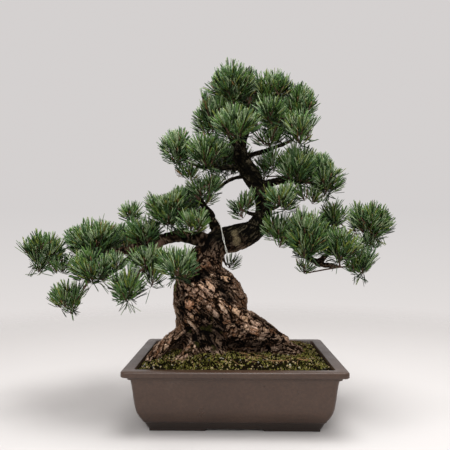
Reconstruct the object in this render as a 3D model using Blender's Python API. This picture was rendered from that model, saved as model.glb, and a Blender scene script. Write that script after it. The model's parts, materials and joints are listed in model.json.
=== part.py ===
"""Japanese white pine bonsai in its pot, in metres, +Z up.

The origin is the centre of the pot's flat underside, between its four feet. +X is to the right
of the tree's front and +Y goes to its back. The trunk is one piece from the soil to the apex.
Each bough is one tapering limb, and each mass of needles is one solid: twigs that branch from
one stem by a seeded rule, with a spray of needles at the end of each twig.
"""

import math
import random
from typing import NamedTuple

import bmesh
import bpy
import numpy as np
from mathutils import Vector

# Driving sizes of the pot
POT_WIDTH = 0.370
POT_DEPTH = 0.270
RIM_HEIGHT = 0.104
POT_CORNER = 0.010
CORNER_STEPS = 2
FOOT_HEIGHT = 0.004
FOOT_INSET = 0.0415
FOOT_WIDTH = 0.016
FOOT_SLOPE = 0.009
FOOT_GAP_FRONT = 0.100
FOOT_GAP_SIDE = 0.070
FOOT_SINK = 0.003
FLOOR_HEIGHT = 0.012
FLOOR_INSET = 0.040

# Ground, gaps and limbs
GROUND = 0.108
SOIL_EDGE = 0.096
SOIL_SHOULDER = 0.013
GAP = 0.0003
CUT_GAP = 0.0004
TRUNK_SIDES = 13
TRUNK_RINGS = 25
TRUNK_SWAY = 0.008
SWAY_CREST = 0.46
SWAY_WAVE = 0.56
SWAY_STARTS = 0.3
FLAT_FOOT = 0.2
DEEP_FLUTE = 0.055
FAINT_FLUTE = 0.02
DEEP_FLUTES_END = 0.35
ROOT_SIDES = 8
ROOT_RINGS = 6
BOUGH_SIDES = 6
BOUGH_RINGS = 6
TWIG_SIDES = 3
PATH_STEPS = 60

# Twigs and sprays of needles
SEED = 7
OTHER_SEEDS = {"left_front": 8}
GOLDEN_ANGLE = math.pi * (3 - math.sqrt(5))
NEEDLE_REACH = 0.030
NEEDLE_SPREAD = (0.86, 1.08)
SHORTENED = (1, 0.75, 0.5)
LEAN_SPREAD = 0.12
CORE_WIDTH = 0.0100
CORE_TOP = 0.0040
CORE_SOLE = 0.0050
SPRAY_RISES = (math.radians(56), math.radians(10), math.radians(-14))
FEWEST_NEEDLES = 3
TRIES = 4
NUDGE = 0.004
STEM_RUN = 0.014
STEM_SWELL = 1.3
TWIG_THICK = 0.0036
TWIG_THIN = 0.0030
TWIG_FOOT = 0.0024
TWIG_BEND_AT = 0.55
TWIG_SAG = 0.10
DETOUR_COST = 0.35
UP_PULL = Vector((0, 0, 0.5))
SITE_DEPTH = 0.70
LOWEST_SHARE = 1.50
CLEARANCE = 0.0008
SPIKE_HALF_WIDTH = 0.0022
SPACE_LIMIT = 1.15
MASS_NAMES = {"trunk": "apex"}


class Knot(NamedTuple):
    """One place on the trunk's centre line."""

    side: float
    height: float
    width: float


class Root(NamedTuple):
    """A surface root, stub or knob: where it starts, how it runs and how thick it is."""

    start: tuple
    heading: float
    rise: float
    length: float
    lift: float
    thick: float
    thin: float
    belly: float = 0.0
    turn: float = 0.0
    dip: float = 0.0


class Bough(NamedTuple):
    """A limb: its parent, the share of the parent's length where it leaves, and its run."""

    parent: str
    leaves_at: float
    heading: float
    rise: float
    length: float
    turn: float
    lift: float
    thick: float
    thin: float
    dip: float = 0.0


class Pad(NamedTuple):
    """The space of one cushion of needles: centre, half sizes and count of sprays."""

    x: float
    y: float
    z: float
    half_width: float
    half_depth: float
    half_height: float
    sprays: int


TRUNK = (
    Knot(-0.052, 0.100, 0.124),
    Knot(-0.048, 0.160, 0.130),
    Knot(-0.048, 0.200, 0.136),
    Knot(-0.055, 0.236, 0.116),
    Knot(-0.057, 0.266, 0.082),
    Knot(-0.046, 0.292, 0.055),
    Knot(-0.028, 0.313, 0.050),
    Knot(0.008, 0.322, 0.049),
    Knot(0.038, 0.337, 0.040),
    Knot(0.054, 0.366, 0.031),
    Knot(0.053, 0.400, 0.031),
    Knot(0.036, 0.433, 0.034),
    Knot(0.014, 0.472, 0.030),
    Knot(0.014, 0.504, 0.021),
    Knot(0.029, 0.548, 0.012),
    Knot(0.030, 0.578, 0.009),
)

ROOTS = (
    Root((-0.070, -0.036, 0.236), 2, -34, 0.200, 4, 0.028, 0.014, belly=0.006, turn=10),
    Root((-0.040, -0.008, 0.148), -5, -4, 0.168, -20, 0.092, 0.019),
    Root((-0.058, -0.008, 0.150), -146, -2, 0.134, -44, 0.042, 0.013),
    Root((-0.045, -0.026, 0.132), -138, -6, 0.094, -36, 0.032, 0.011),
    Root((-0.060, 0.016, 0.146), 142, -4, 0.126, -44, 0.044, 0.014),
    Root((-0.024, 0.016, 0.146), 54, -4, 0.122, -44, 0.042, 0.014),
    Root((0.000, 0.012, 0.178), 6, -10, 0.104, -40, 0.024, 0.011),
    Root((-0.086, -0.015, 0.220), 180, 76, 0.040, 0, 0.028, 0.018),
)

BURLS = ((Vector((0.000, -0.006, 0.204)), 0.024), (Vector((-0.083, -0.036, 0.204)), 0.018))

BOUGHS = {
    "left": Bough("trunk", 0.38, 185, 37, 0.209, -13, -38, 0.022, 0.010, dip=-32),
    "left_front": Bough("left", 0.70, -122, -42, 0.088, -16, 13, 0.009, 0.0055),
    "left_low": Bough("left", 0.50, -91, -45, 0.097, -41, 9, 0.009, 0.0055),
    "left_inner": Bough("left", 0.60, 116, 12, 0.041, 76, 46, 0.008, 0.005),
    "left_fan": Bough("trunk", 0.28, -128, -16, 0.102, 31, 36, 0.010, 0.0055),
    "left_back": Bough("left", 0.45, 123, 9, 0.131, 27, -31, 0.009, 0.0055),
    "shelf": Bough("trunk", 0.41, 176, 54, 0.089, -9, -15, 0.016, 0.008, dip=25),
    "upper_left": Bough("shelf", 0.32, -165, 71, 0.078, -20, -111, 0.010, 0.006, dip=12),
    "shelf_back": Bough("trunk", 0.42, 105, 34, 0.126, 48, -9, 0.010, 0.006),
    "arm": Bough("trunk", 0.78, -165, -13, 0.092, -15, 32, 0.011, 0.006, dip=-7),
    "arm_back": Bough("trunk", 0.80, 98, 10, 0.082, 20, 10, 0.009, 0.006),
    "lower_arm": Bough("trunk", 0.73, 180, 9, 0.064, -33, -43, 0.007, 0.005),
    "crown_left": Bough("trunk", 0.84, 160, 43, 0.056, 18, 14, 0.010, 0.006),
    "crown_front": Bough("trunk", 0.83, -101, 1, 0.065, 9, 10, 0.008, 0.0055),
    "crown_right": Bough("trunk", 0.80, 3, 36, 0.091, -14, -9, 0.010, 0.006, dip=-18),
    "crown_back": Bough("trunk", 0.90, 68, 17, 0.084, 10, 19, 0.009, 0.006),
    "right_upper": Bough("trunk", 0.67, -27, 42, 0.086, 34, -55, 0.014, 0.007, dip=-3),
    "right_rear": Bough("trunk", 0.69, 63, 21, 0.087, -25, -8, 0.009, 0.006),
    "right_centre": Bough("trunk", 0.61, -71, -6, 0.058, 17, 19, 0.008, 0.0055),
    "inner": Bough("trunk", 0.60, -141, -28, 0.039, -12, 52, 0.007, 0.005),
    "low_right": Bough("trunk", 0.55, -18, -1, 0.161, 15, 4, 0.017, 0.008, dip=-46),
    "near_right": Bough("low_right", 0.45, -95, -29, 0.032, 37, 35, 0.007, 0.0055),
    "tip_right": Bough("low_right", 0.83, 56, 25, 0.081, -43, 19, 0.009, 0.006),
    "back_right": Bough("low_right", 0.20, 72, 2, 0.108, -29, -21, 0.009, 0.006),
    "neck": Bough("trunk", 0.37, 62, -20, 0.058, 10, -10, 0.006, 0.0045),
}

PADS = {
    "left": (
        Pad(-0.365, 0.000, 0.294, 0.044, 0.042, 0.045, 8),
        Pad(-0.270, 0.000, 0.319, 0.059, 0.045, 0.044, 9),
    ),
    "left_front": (
        Pad(-0.244, -0.070, 0.269, 0.049, 0.038, 0.038, 7),
        Pad(-0.293, -0.055, 0.215, 0.039, 0.036, 0.039, 6),
    ),
    "left_low": (
        Pad(-0.184, -0.095, 0.242, 0.037, 0.034, 0.041, 6),
        Pad(-0.153, -0.060, 0.278, 0.037, 0.034, 0.039, 6),
    ),
    "left_inner": (
        Pad(-0.200, 0.010, 0.369, 0.029, 0.028, 0.031, 4),
        Pad(-0.171, -0.010, 0.332, 0.043, 0.038, 0.037, 7),
    ),
    "left_fan": (Pad(-0.094, -0.112, 0.276, 0.037, 0.036, 0.038, 7),),
    "left_back": (Pad(-0.250, 0.095, 0.317, 0.073, 0.045, 0.042, 9),),
    "upper_left": (
        Pad(-0.121, -0.010, 0.379, 0.047, 0.044, 0.045, 9),
        Pad(-0.064, -0.044, 0.352, 0.034, 0.030, 0.026, 4),
    ),
    "shelf": (Pad(-0.056, 0.000, 0.415, 0.040, 0.038, 0.034, 7),),
    "shelf_back": (Pad(-0.113, 0.090, 0.396, 0.058, 0.042, 0.042, 8),),
    "trunk": (
        Pad(-0.006, 0.000, 0.614, 0.052, 0.046, 0.046, 9),
        Pad(0.070, 0.000, 0.606, 0.042, 0.040, 0.036, 7),
    ),
    "arm": (
        Pad(-0.109, 0.000, 0.495, 0.035, 0.036, 0.048, 7),
        Pad(-0.049, -0.024, 0.482, 0.044, 0.036, 0.037, 6),
    ),
    "arm_back": (Pad(-0.020, 0.105, 0.492, 0.062, 0.042, 0.042, 8),),
    "lower_arm": (Pad(-0.040, 0.030, 0.430, 0.025, 0.026, 0.022, 3),),
    "crown_left": (Pad(-0.045, 0.010, 0.560, 0.042, 0.042, 0.050, 9),),
    "crown_front": (Pad(0.004, -0.085, 0.518, 0.048, 0.038, 0.036, 8),),
    "crown_right": (
        Pad(0.122, -0.035, 0.522, 0.040, 0.036, 0.034, 7),
        Pad(0.126, 0.005, 0.574, 0.036, 0.036, 0.046, 7),
        Pad(0.066, -0.040, 0.552, 0.034, 0.032, 0.034, 5),
    ),
    "crown_back": (
        Pad(-0.019, 0.090, 0.588, 0.050, 0.045, 0.050, 7),
        Pad(0.104, 0.090, 0.580, 0.054, 0.045, 0.050, 7),
    ),
    "right_upper": (
        Pad(0.117, -0.012, 0.458, 0.043, 0.040, 0.044, 8),
        Pad(0.176, 0.000, 0.444, 0.038, 0.038, 0.047, 7),
    ),
    "right_rear": (
        Pad(0.147, 0.085, 0.473, 0.058, 0.042, 0.041, 8),
        Pad(0.061, 0.070, 0.462, 0.026, 0.028, 0.034, 3),
    ),
    "right_centre": (Pad(0.084, -0.060, 0.394, 0.039, 0.034, 0.032, 6),),
    "inner": (Pad(0.016, -0.022, 0.386, 0.030, 0.030, 0.034, 4),),
    "near_right": (
        Pad(0.127, -0.062, 0.326, 0.041, 0.038, 0.050, 7),
        Pad(0.080, -0.036, 0.333, 0.032, 0.032, 0.048, 5),
    ),
    "tip_right": (
        Pad(0.255, 0.000, 0.353, 0.047, 0.044, 0.043, 9),
        Pad(0.197, 0.040, 0.365, 0.036, 0.034, 0.034, 5),
    ),
    "low_right": (
        Pad(0.187, -0.055, 0.306, 0.039, 0.036, 0.039, 7),
        Pad(0.236, -0.015, 0.276, 0.034, 0.034, 0.037, 5),
        Pad(0.132, 0.015, 0.267, 0.028, 0.024, 0.018, 2),
    ),
    "back_right": (Pad(0.148, 0.095, 0.334, 0.067, 0.042, 0.046, 9),),
    "neck": (Pad(-0.009, 0.045, 0.273, 0.026, 0.024, 0.022, 2),),
}

COLOURS = {
    "pot": ((0.110, 0.065, 0.050), 0.55),
    "soil": ((0.070, 0.055, 0.022), 0.95),
    "bark": ((0.105, 0.055, 0.035), 0.90),
    "bough": ((0.060, 0.036, 0.026), 0.85),
    "needles": ((0.060, 0.120, 0.060), 0.60),
}


# Paths


def smooth_knots(knots, per_span=12):
    """Points of a smooth curve through the knots, as rows of side, height and width."""
    rows = [np.array(knot) for knot in knots]
    rows = [2 * rows[0] - rows[1]] + rows + [2 * rows[-1] - rows[-2]]
    found = []
    for before, start, end, after in zip(rows, rows[1:], rows[2:], rows[3:]):
        for t in np.arange(per_span) / per_span:
            bend = 2 * before - 5 * start + 4 * end - after
            twist = 3 * start - before - 3 * end + after
            found.append(start + 0.5 * ((end - before) * t + bend * t**2 + twist * t**3))
    found.append(rows[-2])
    return np.array(found)


def trunk_line(count):
    """The trunk's centre line at even steps: its points and its widths."""
    rows = smooth_knots(TRUNK)
    run = np.r_[0, np.cumsum(np.hypot(*np.diff(rows[:, :2], axis=0).T))]
    points = []
    widths = []
    for share in np.linspace(0, 1, count):
        side, height, width = (np.interp(share * run[-1], run, rows[:, k]) for k in range(3))
        turn = 2 * math.pi * (share - SWAY_CREST) / SWAY_WAVE
        sway = -TRUNK_SWAY * math.cos(turn) * min(1, share / SWAY_STARTS)
        points.append(Vector((side, sway, height)))
        widths.append(width)
    return points, widths


def limb_line(start, limb, steps=PATH_STEPS):
    """Points of a limb that starts on a heading and a rise and turns and lifts as it runs."""
    points = [Vector(start)]
    for step in range(steps):
        share = (step + 0.5) / steps
        heading = math.radians(limb.heading + limb.turn * share)
        rise = math.radians(limb.rise + limb.lift * share + limb.dip * math.sin(math.pi * share))
        flat = math.cos(rise)
        along = Vector((flat * math.cos(heading), flat * math.sin(heading), math.sin(rise)))
        points.append(points[-1] + along * limb.length / steps)
    return points


def at_share(points, share):
    """The point this share of the way along an evenly stepped line."""
    return points[round(share * (len(points) - 1))]


def sampled(points, count):
    """This many points of an evenly stepped line, ends included."""
    return [at_share(points, k / (count - 1)) for k in range(count)]


def bough_lines():
    """Every limb's centre line by name, the trunk's among them."""
    lines = {"trunk": trunk_line(PATH_STEPS * 5 + 1)[0]}
    for name, bough in BOUGHS.items():
        lines[name] = limb_line(at_share(lines[bough.parent], bough.leaves_at), bough)
    return lines


# Solids


def rings_along(points, side=Vector((1, 0, 0))):
    """A side and a depth direction square to the line at each point, carried on without spin."""
    last = len(points) - 1
    found = []
    for index in range(last + 1):
        along = (points[min(index + 1, last)] - points[max(index - 1, 0)]).normalized()
        if abs(side.dot(along)) > 0.95:
            side = Vector((0, 1, 0))
        side = (side - along * side.dot(along)).normalized()
        found.append((side, along.cross(side)))
    return found


def add_tube(bm, points, half_sizes, sides, relief=None, extra=0.0):
    """A closed tube along the points, with each ring's half width and half depth, and more."""
    rings = []
    for index, (side, depth) in enumerate(rings_along(points)):
        half_width, half_depth = (half + extra for half in half_sizes[index])
        ring = []
        for k in range(sides):
            angle = 2 * math.pi * k / sides
            swell = relief(index, angle) if relief else 1
            offset = side * math.cos(angle) * half_width + depth * math.sin(angle) * half_depth
            ring.append(bm.verts.new(points[index] + offset * swell))
        rings.append(ring)
    for low, high in zip(rings, rings[1:]):
        for k in range(sides):
            after = (k + 1) % sides
            bm.faces.new((low[k], low[after], high[after], high[k]))
    bm.faces.new(rings[0][::-1])
    bm.faces.new(rings[-1])


def tapered(count, thick, thin, belly=0.0):
    """Half sizes of round rings from thick to thin, with a belly half way."""
    found = []
    for k in range(count):
        share = k / (count - 1)
        half = (thick + (thin - thick) * share + belly * math.sin(math.pi * share)) / 2
        found.append((half, half))
    return found


def add_box(bm, low, high):
    """A box between two corners."""
    made = bmesh.ops.create_cube(bm, size=1)["verts"]
    size = Vector(high) - Vector(low)
    middle = (Vector(high) + Vector(low)) / 2
    for vert in made:
        vert.co = Vector(a * b for a, b in zip(vert.co, size)) + middle


def to_object(name, bm, finish):
    """The mesh as an object of the scene, with its own material."""
    bmesh.ops.recalc_face_normals(bm, faces=bm.faces)
    mesh = bpy.data.meshes.new(name)
    bm.to_mesh(mesh)
    bm.free()
    colour, roughness = COLOURS[finish]
    material = bpy.data.materials.new(name)
    material.use_nodes = True
    shader = material.node_tree.nodes["Principled BSDF"]
    shader.inputs["Base Color"].default_value = (*colour, 1)
    shader.inputs["Roughness"].default_value = roughness
    material.diffuse_color = (*colour, 1)
    mesh.materials.append(material)
    made = bpy.data.objects.new(name, mesh)
    bpy.context.scene.collection.objects.link(made)
    return made


def remove_objects(objects):
    """Takes helper objects out of the scene with their meshes."""
    for helper in list(objects):
        mesh = helper.data
        bpy.data.objects.remove(helper)
        bpy.data.meshes.remove(mesh)


def apply_boolean(solid, operation, helpers):
    """Joins the helpers to the solid, or cuts them from it, and removes them."""
    group = bpy.data.collections.new("helpers")
    bpy.context.scene.collection.children.link(group)
    for helper in helpers:
        bpy.context.scene.collection.objects.unlink(helper)
        group.objects.link(helper)
    step = solid.modifiers.new(operation.title(), "BOOLEAN")
    step.operation = operation
    step.solver = "EXACT"
    step.use_self = True
    step.operand_type = "COLLECTION"
    step.collection = group
    bpy.context.view_layer.update()
    graph = bpy.context.evaluated_depsgraph_get()
    shaped = bpy.data.meshes.new_from_object(solid.evaluated_get(graph))
    solid.modifiers.clear()
    plain = solid.data
    solid.data = shaped
    bpy.data.meshes.remove(plain)
    remove_objects(group.objects)
    bpy.data.collections.remove(group)


def shell_volume(faces):
    """Six times the signed volume inside a set of faces."""
    total = 0.0
    for face in faces:
        first = face.verts[0].co
        for second, third in zip(face.verts[1:], face.verts[2:]):
            total += first.dot(second.co.cross(third.co))
    return total


def keep_main_shell(solid):
    """Drops loose scraps and fills sealed hollows, so that one outer shell is left."""
    bm = bmesh.new()
    bm.from_mesh(solid.data)
    unseen = set(bm.faces)
    shells = []
    while unseen:
        reached = [unseen.pop()]
        for face in reached:
            for edge in face.edges:
                for beside in edge.link_faces:
                    if beside in unseen:
                        unseen.remove(beside)
                        reached.append(beside)
        shells.append(reached)
    main = max(shells, key=shell_volume)
    spare = [face for shell in shells if shell is not main for face in shell]
    bmesh.ops.delete(bm, geom=spare, context="FACES")
    loose = [vert for vert in bm.verts if not vert.link_faces]
    bmesh.ops.delete(bm, geom=loose, context="VERTS")
    bm.to_mesh(solid.data)
    bm.free()


# Pot and soil


def rounded_ring(bm, inset, height, corner=POT_CORNER):
    """A ring of the pot: a rectangle with round corners, this far in from the rim's outline."""
    ring = []
    corners = ((1, 1, 0), (-1, 1, 90), (-1, -1, 180), (1, -1, 270))
    for side, front, turned in corners:
        x = side * (POT_WIDTH / 2 - inset - corner)
        y = front * (POT_DEPTH / 2 - inset - corner)
        for step in range(CORNER_STEPS + 1):
            angle = math.radians(turned + 90 * step / CORNER_STEPS)
            place = (x + corner * math.cos(angle), y + corner * math.sin(angle), height)
            ring.append(bm.verts.new(place))
    return ring


def add_lofted(bm, profile):
    """A closed solid through rings given as inset and height, flat at both ends."""
    rings = [rounded_ring(bm, inset, height) for inset, height in profile]
    for low, high in zip(rings, rings[1:]):
        for k in range(len(low)):
            after = (k + 1) % len(low)
            bm.faces.new((low[k], low[after], high[after], high[k]))
    bm.faces.new(rings[0][::-1])
    bm.faces.new(rings[-1])


WALL_OUTSIDE = (
    (FOOT_INSET - 0.002, 0.0),
    (0.0334, 0.0125),
    (0.0316, 0.0135),
    (0.0300, 0.0170),
    (0.0255, 0.0245),
    (0.0220, 0.0325),
    (0.0190, 0.0470),
    (0.0166, 0.0665),
    (0.0130, 0.0880),
)
RIM = (
    (0.0090, 0.0890),
    (0.0090, 0.0940),
    (0.0005, 0.0945),
    (0.0000, 0.1020),
    (0.0015, RIM_HEIGHT),
    (0.0180, RIM_HEIGHT),
    (0.0200, 0.1025),
)
WALL_INSIDE = (
    (0.0215, 0.0880),
    (0.0260, 0.0500),
    (0.0340, 0.0220),
    (FLOOR_INSET, FLOOR_HEIGHT),
)


def foot_outline(side, front):
    """The L of one corner foot at the ground, from its outer corner, with its two free ends."""
    outer_x = side * (POT_WIDTH / 2 - FOOT_INSET)
    outer_y = front * (POT_DEPTH / 2 - FOOT_INSET)
    inner_x = outer_x - side * FOOT_WIDTH
    inner_y = outer_y - front * FOOT_WIDTH
    end_x = side * FOOT_GAP_FRONT / 2
    end_y = front * FOOT_GAP_SIDE / 2
    return (
        ((outer_x, outer_y), (0, 0)),
        ((outer_x, end_y), (0, -front)),
        ((inner_x, end_y), (0, -front)),
        ((inner_x, inner_y), (0, 0)),
        ((end_x, inner_y), (-side, 0)),
        ((end_x, outer_y), (-side, 0)),
    )


def foot(side, front):
    """A corner foot, whose free ends slope up into the pot's base."""
    bm = bmesh.new()
    low = []
    high = []
    for (x, y), (slope_x, slope_y) in foot_outline(side, front):
        low.append(bm.verts.new((x, y, -FOOT_HEIGHT)))
        place = (x + slope_x * FOOT_SLOPE, y + slope_y * FOOT_SLOPE, FOOT_SINK)
        high.append(bm.verts.new(place))
    for k in range(len(low)):
        after = (k + 1) % len(low)
        bm.faces.new((low[k], low[after], high[after], high[k]))
    bm.faces.new(low[::-1])
    bm.faces.new(high)
    return to_object("foot", bm, "pot")


def build_pot():
    """The unglazed pot: base, curved wall, flat rim and four feet."""
    bm = bmesh.new()
    add_lofted(bm, WALL_OUTSIDE + RIM + WALL_INSIDE)
    pot = to_object("pot", bm, "pot")
    feet = [foot(side, front) for side in (-1, 1) for front in (-1, 1)]
    apply_boolean(pot, "UNION", feet)
    return pot


def build_soil():
    """The soil, up to the level where the trunk is cut, and lower along the rim."""
    wall = [(inset + GAP, height) for inset, height in reversed(WALL_INSIDE)]
    wall[0] = (wall[0][0], FLOOR_HEIGHT + GAP)
    edge = wall[-1][0]
    bm = bmesh.new()
    top = GROUND - GAP
    shoulder = ((edge, SOIL_EDGE), (edge + SOIL_SHOULDER, (SOIL_EDGE + 2 * top) / 3))
    add_lofted(bm, (*wall, *shoulder, (edge + 2 * SOIL_SHOULDER, top)))
    return to_object("soil", bm, "soil")


# Trunk and boughs


def trunk_flutes(index, angle):
    """How far the trunk's surface swells at this ring and angle: deep folds low down."""
    depth = DEEP_FLUTE if index < TRUNK_RINGS * DEEP_FLUTES_END else FAINT_FLUTE
    fold = math.sin(3 * angle + 0.55 * index) + 0.6 * math.sin(5 * angle - 0.4 * index + 1)
    return 1 + depth * fold


def trunk_half_sizes(widths):
    """Half sizes of the trunk's rings: the fat foot is less deep than it is wide."""
    found = []
    for width in widths:
        flat = FLAT_FOOT * min(1, max(0, (width - 0.060) / 0.070))
        found.append((width / 2, width / 2 * (1 - flat)))
    return found


def trunk_tube(extra=0.0):
    """The trunk alone, without its roots, this much thicker all round."""
    points, widths = trunk_line(TRUNK_RINGS)
    bm = bmesh.new()
    add_tube(bm, points, trunk_half_sizes(widths), TRUNK_SIDES, trunk_flutes, extra)
    return to_object("trunk", bm, "bark")


def root_tube(root, extra=0.0):
    """A tapering tube for one surface root."""
    points = sampled(limb_line(root.start, root), ROOT_RINGS)
    half_sizes = tapered(ROOT_RINGS, root.thick, root.thin, root.belly)
    bm = bmesh.new()
    add_tube(bm, points, half_sizes, ROOT_SIDES, extra=extra)
    return to_object("root", bm, "bark")


def burl_ball(centre, radius, extra=0.0):
    """A round swelling on the trunk."""
    bm = bmesh.new()
    bmesh.ops.create_icosphere(bm, subdivisions=2, radius=radius + extra)
    bmesh.ops.translate(bm, verts=bm.verts, vec=centre)
    return to_object("burl", bm, "bark")


def bough_tube(name, lines, extra=0.0):
    """A bough's tapering tube, from its parent's centre line to its tip."""
    bough = BOUGHS[name]
    half_sizes = tapered(BOUGH_RINGS, bough.thick, bough.thin)
    bm = bmesh.new()
    add_tube(bm, sampled(lines[name], BOUGH_RINGS), half_sizes, BOUGH_SIDES, extra=extra)
    return to_object("bough_" + name, bm, "bough")


def trunk_swellings(extra=0.0):
    """The roots and burls that are part of the trunk."""
    roots = [root_tube(root, extra) for root in ROOTS]
    return roots + [burl_ball(centre, radius, extra) for centre, radius in BURLS]


def build_trunk():
    """The trunk with its root flare and surface roots, cut flat at the ground."""
    trunk = trunk_tube()
    apply_boolean(trunk, "UNION", trunk_swellings())
    bm = bmesh.new()
    add_box(bm, (-1, -1, -1), (1, 1, GROUND))
    apply_boolean(trunk, "DIFFERENCE", [to_object("cutter", bm, "bark")])
    keep_main_shell(trunk)


def build_boughs(lines):
    """Every bough as a tapering limb that stops a gap short of the limb that carries it."""
    for name, bough in BOUGHS.items():
        limb = bough_tube(name, lines)
        cutters = [trunk_tube(CUT_GAP)] + trunk_swellings(CUT_GAP)
        if bough.parent != "trunk":
            cutters.append(bough_tube(bough.parent, lines, CUT_GAP))
        apply_boolean(limb, "DIFFERENCE", cutters)
        keep_main_shell(limb)


# Rule that grows the twigs and the sprays of needles


class Bars:
    """Straight bars with a radius, which new twigs and needles must keep clear of."""

    def __init__(self):
        self.starts = np.empty((0, 3))
        self.ends = np.empty((0, 3))
        self.radii = np.empty(0)

    def add(self, start, end, radius):
        self.starts = np.vstack((self.starts, start))
        self.ends = np.vstack((self.ends, end))
        self.radii = np.append(self.radii, radius)

    def join(self, others):
        self.starts = np.vstack((self.starts, others.starts))
        self.ends = np.vstack((self.ends, others.ends))
        self.radii = np.append(self.radii, others.radii)

    def add_line(self, points, half_sizes):
        for start, end, (half, _) in zip(points, points[1:], half_sizes):
            self.add(start, end, half)

    def clear(self, start, end, radius):
        """Whether a new bar stays clear of every bar here."""
        if not len(self.radii):
            return True
        start = np.array(start)
        along = np.array(end) - start
        theirs = self.ends - self.starts
        apart = start - self.starts
        a = along @ along + 1e-12
        e = (theirs * theirs).sum(axis=1) + 1e-12
        b = theirs @ along
        c = apart @ along
        f = (theirs * apart).sum(axis=1)
        s = np.clip((b * f - c * e) / np.maximum(a * e - b * b, 1e-15), 0, 1)
        t = np.clip((b * s + f) / e, 0, 1)
        s = np.clip((b * t - c) / a, 0, 1)
        between = apart + s[:, None] * along - t[:, None] * theirs
        gaps = np.linalg.norm(between, axis=1) - self.radii - radius
        return gaps.min() > CLEARANCE


class Spray(NamedTuple):
    """A bent twig and the needles at its end: their axis, and their tips, None where skipped."""

    start: Vector
    middle: Vector
    centre: Vector
    axis: Vector
    tips: list


def nearness(point, pad):
    """0 at the pad's centre, 1 on its outline."""
    away = ((point.x - pad.x) / pad.half_width, (point.y - pad.y) / pad.half_depth)
    return math.hypot(*away, (point.z - pad.z) / pad.half_height)


def in_own_space(point, name):
    """Whether a point lies in this mass's pads and no nearer to another mass's."""
    own = min(nearness(point, pad) for pad in PADS[name])
    others = (nearness(point, pad) for key, pads in PADS.items() if key != name for pad in pads)
    return own < SPACE_LIMIT and own < min(others)


def spray_sites(pad, rng):
    """Centres of the pad's sprays, spread over its inner shell by the golden angle."""
    centre = Vector((pad.x, pad.y, pad.z))
    reach = [max(0.006, half - SITE_DEPTH * NEEDLE_REACH) for half in pad[3:6]]
    turned = rng.uniform(0, 2 * math.pi)
    found = []
    for k in range(pad.sprays):
        height = 1 - LOWEST_SHARE * (k + 0.5) / pad.sprays
        flat = math.sqrt(max(0, 1 - height * height))
        angle = turned + GOLDEN_ANGLE * k + rng.uniform(-0.2, 0.2)
        way = (flat * math.cos(angle), flat * math.sin(angle), height)
        found.append(centre + Vector(a * b for a, b in zip(way, reach)))
    return found


def spray_ways(axis, rng):
    """Directions of a spray's needles: three that rise, three that spread and three that hang."""
    side, depth = rings_along([Vector(), axis])[0]
    found = []
    for level, rise in enumerate(SPRAY_RISES):
        for k in range(TWIG_SIDES):
            turn = 0.5 if level < 2 else 0
            angle = 2 * math.pi * (k + turn) / TWIG_SIDES
            lean = rise + rng.uniform(-LEAN_SPREAD, LEAN_SPREAD)
            way = side * math.cos(angle) + depth * math.sin(angle)
            found.append(way * math.cos(lean) + axis * math.sin(lean))
    return found


def spray_tips(centre, axis, name, bars, mine, rng):
    """Tips of a spray's needles, each one shorter or skipped where it would leave or touch."""
    found = []
    for way in spray_ways(axis, rng):
        length = NEEDLE_REACH * rng.uniform(*NEEDLE_SPREAD)
        tip = None
        for share in SHORTENED:
            reached = centre + way * length * share
            clear = bars.clear(centre, reached, SPIKE_HALF_WIDTH)
            clear = clear and mine.clear(centre, reached, SPIKE_HALF_WIDTH)
            if clear and in_own_space(reached, name):
                tip = reached
                break
        found.append(tip)
    return found


def limb_end(name, lines):
    """The middle of a limb's end face, and the direction that it faces."""
    rings = TRUNK_RINGS if name == "trunk" else BOUGH_RINGS
    before, tip = sampled(lines[name], rings)[-2:]
    return tip, (tip - before).normalized()


def joint_for(site, joints):
    """The joint that the site's twig leaves from: the nearest, counting what leads there."""
    return min(joints, key=lambda joint: (joint[0] - site).length + DETOUR_COST * joint[1])


def spray_at(site, centre, joints, name, bars, mine, rng):
    """The joint's run and a spray that reaches the site, or nothing where it doesn't fit."""
    start, run = joint_for(site, joints)
    span = site - start
    middle = start + span * TWIG_BEND_AT - Vector((0, 0, TWIG_SAG * span.length))
    half = TWIG_THICK / 2
    clear = bars.clear(start, middle, half) and bars.clear(middle, site, half)
    clear = clear and mine.clear(middle, site, half)
    if not clear or not in_own_space(site, name):
        return run, None
    outward = (site - centre).normalized()
    axis = (outward + (site - middle).normalized() + UP_PULL).normalized()
    tips = spray_tips(site, axis, name, bars, mine, rng)
    if sum(tip is not None for tip in tips) < FEWEST_NEEDLES:
        return run, None
    return run, Spray(start, middle, site, axis, tips)


def grow(name, lines, bars):
    """The sprays of one mass, each on its twig, by the rule that the finer mass follows too."""
    rng = random.Random(f"{OTHER_SEEDS.get(name, SEED)} {name}")
    tip, onward = limb_end(name, lines)
    stem_end = tip + onward * STEM_RUN
    joints = [(stem_end, 0.0)]
    mine = Bars()
    sprays = []
    for pad in PADS[name]:
        centre = Vector((pad.x, pad.y, pad.z))
        for site in sorted(spray_sites(pad, rng), key=lambda place: (place - stem_end).length):
            for attempt in range(TRIES):
                nudge = Vector(rng.uniform(-NUDGE, NUDGE) * attempt for _ in range(3))
                run, spray = spray_at(site + nudge, centre, joints, name, bars, mine, rng)
                if spray:
                    break
            else:
                continue
            sprays.append(spray)
            joints.append((spray.middle, run + (spray.middle - spray.start).length))
            joints.append((spray.centre, run + (spray.centre - spray.start).length))
            mine.add(spray.start, spray.middle, TWIG_THICK / 2)
            mine.add(spray.middle, spray.centre, TWIG_THICK / 2)
            for tip in filter(None, spray.tips):
                mine.add(spray.centre, tip, SPIKE_HALF_WIDTH)
    bars.join(mine)
    return stem_end, sprays


# Masses of needles


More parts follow.
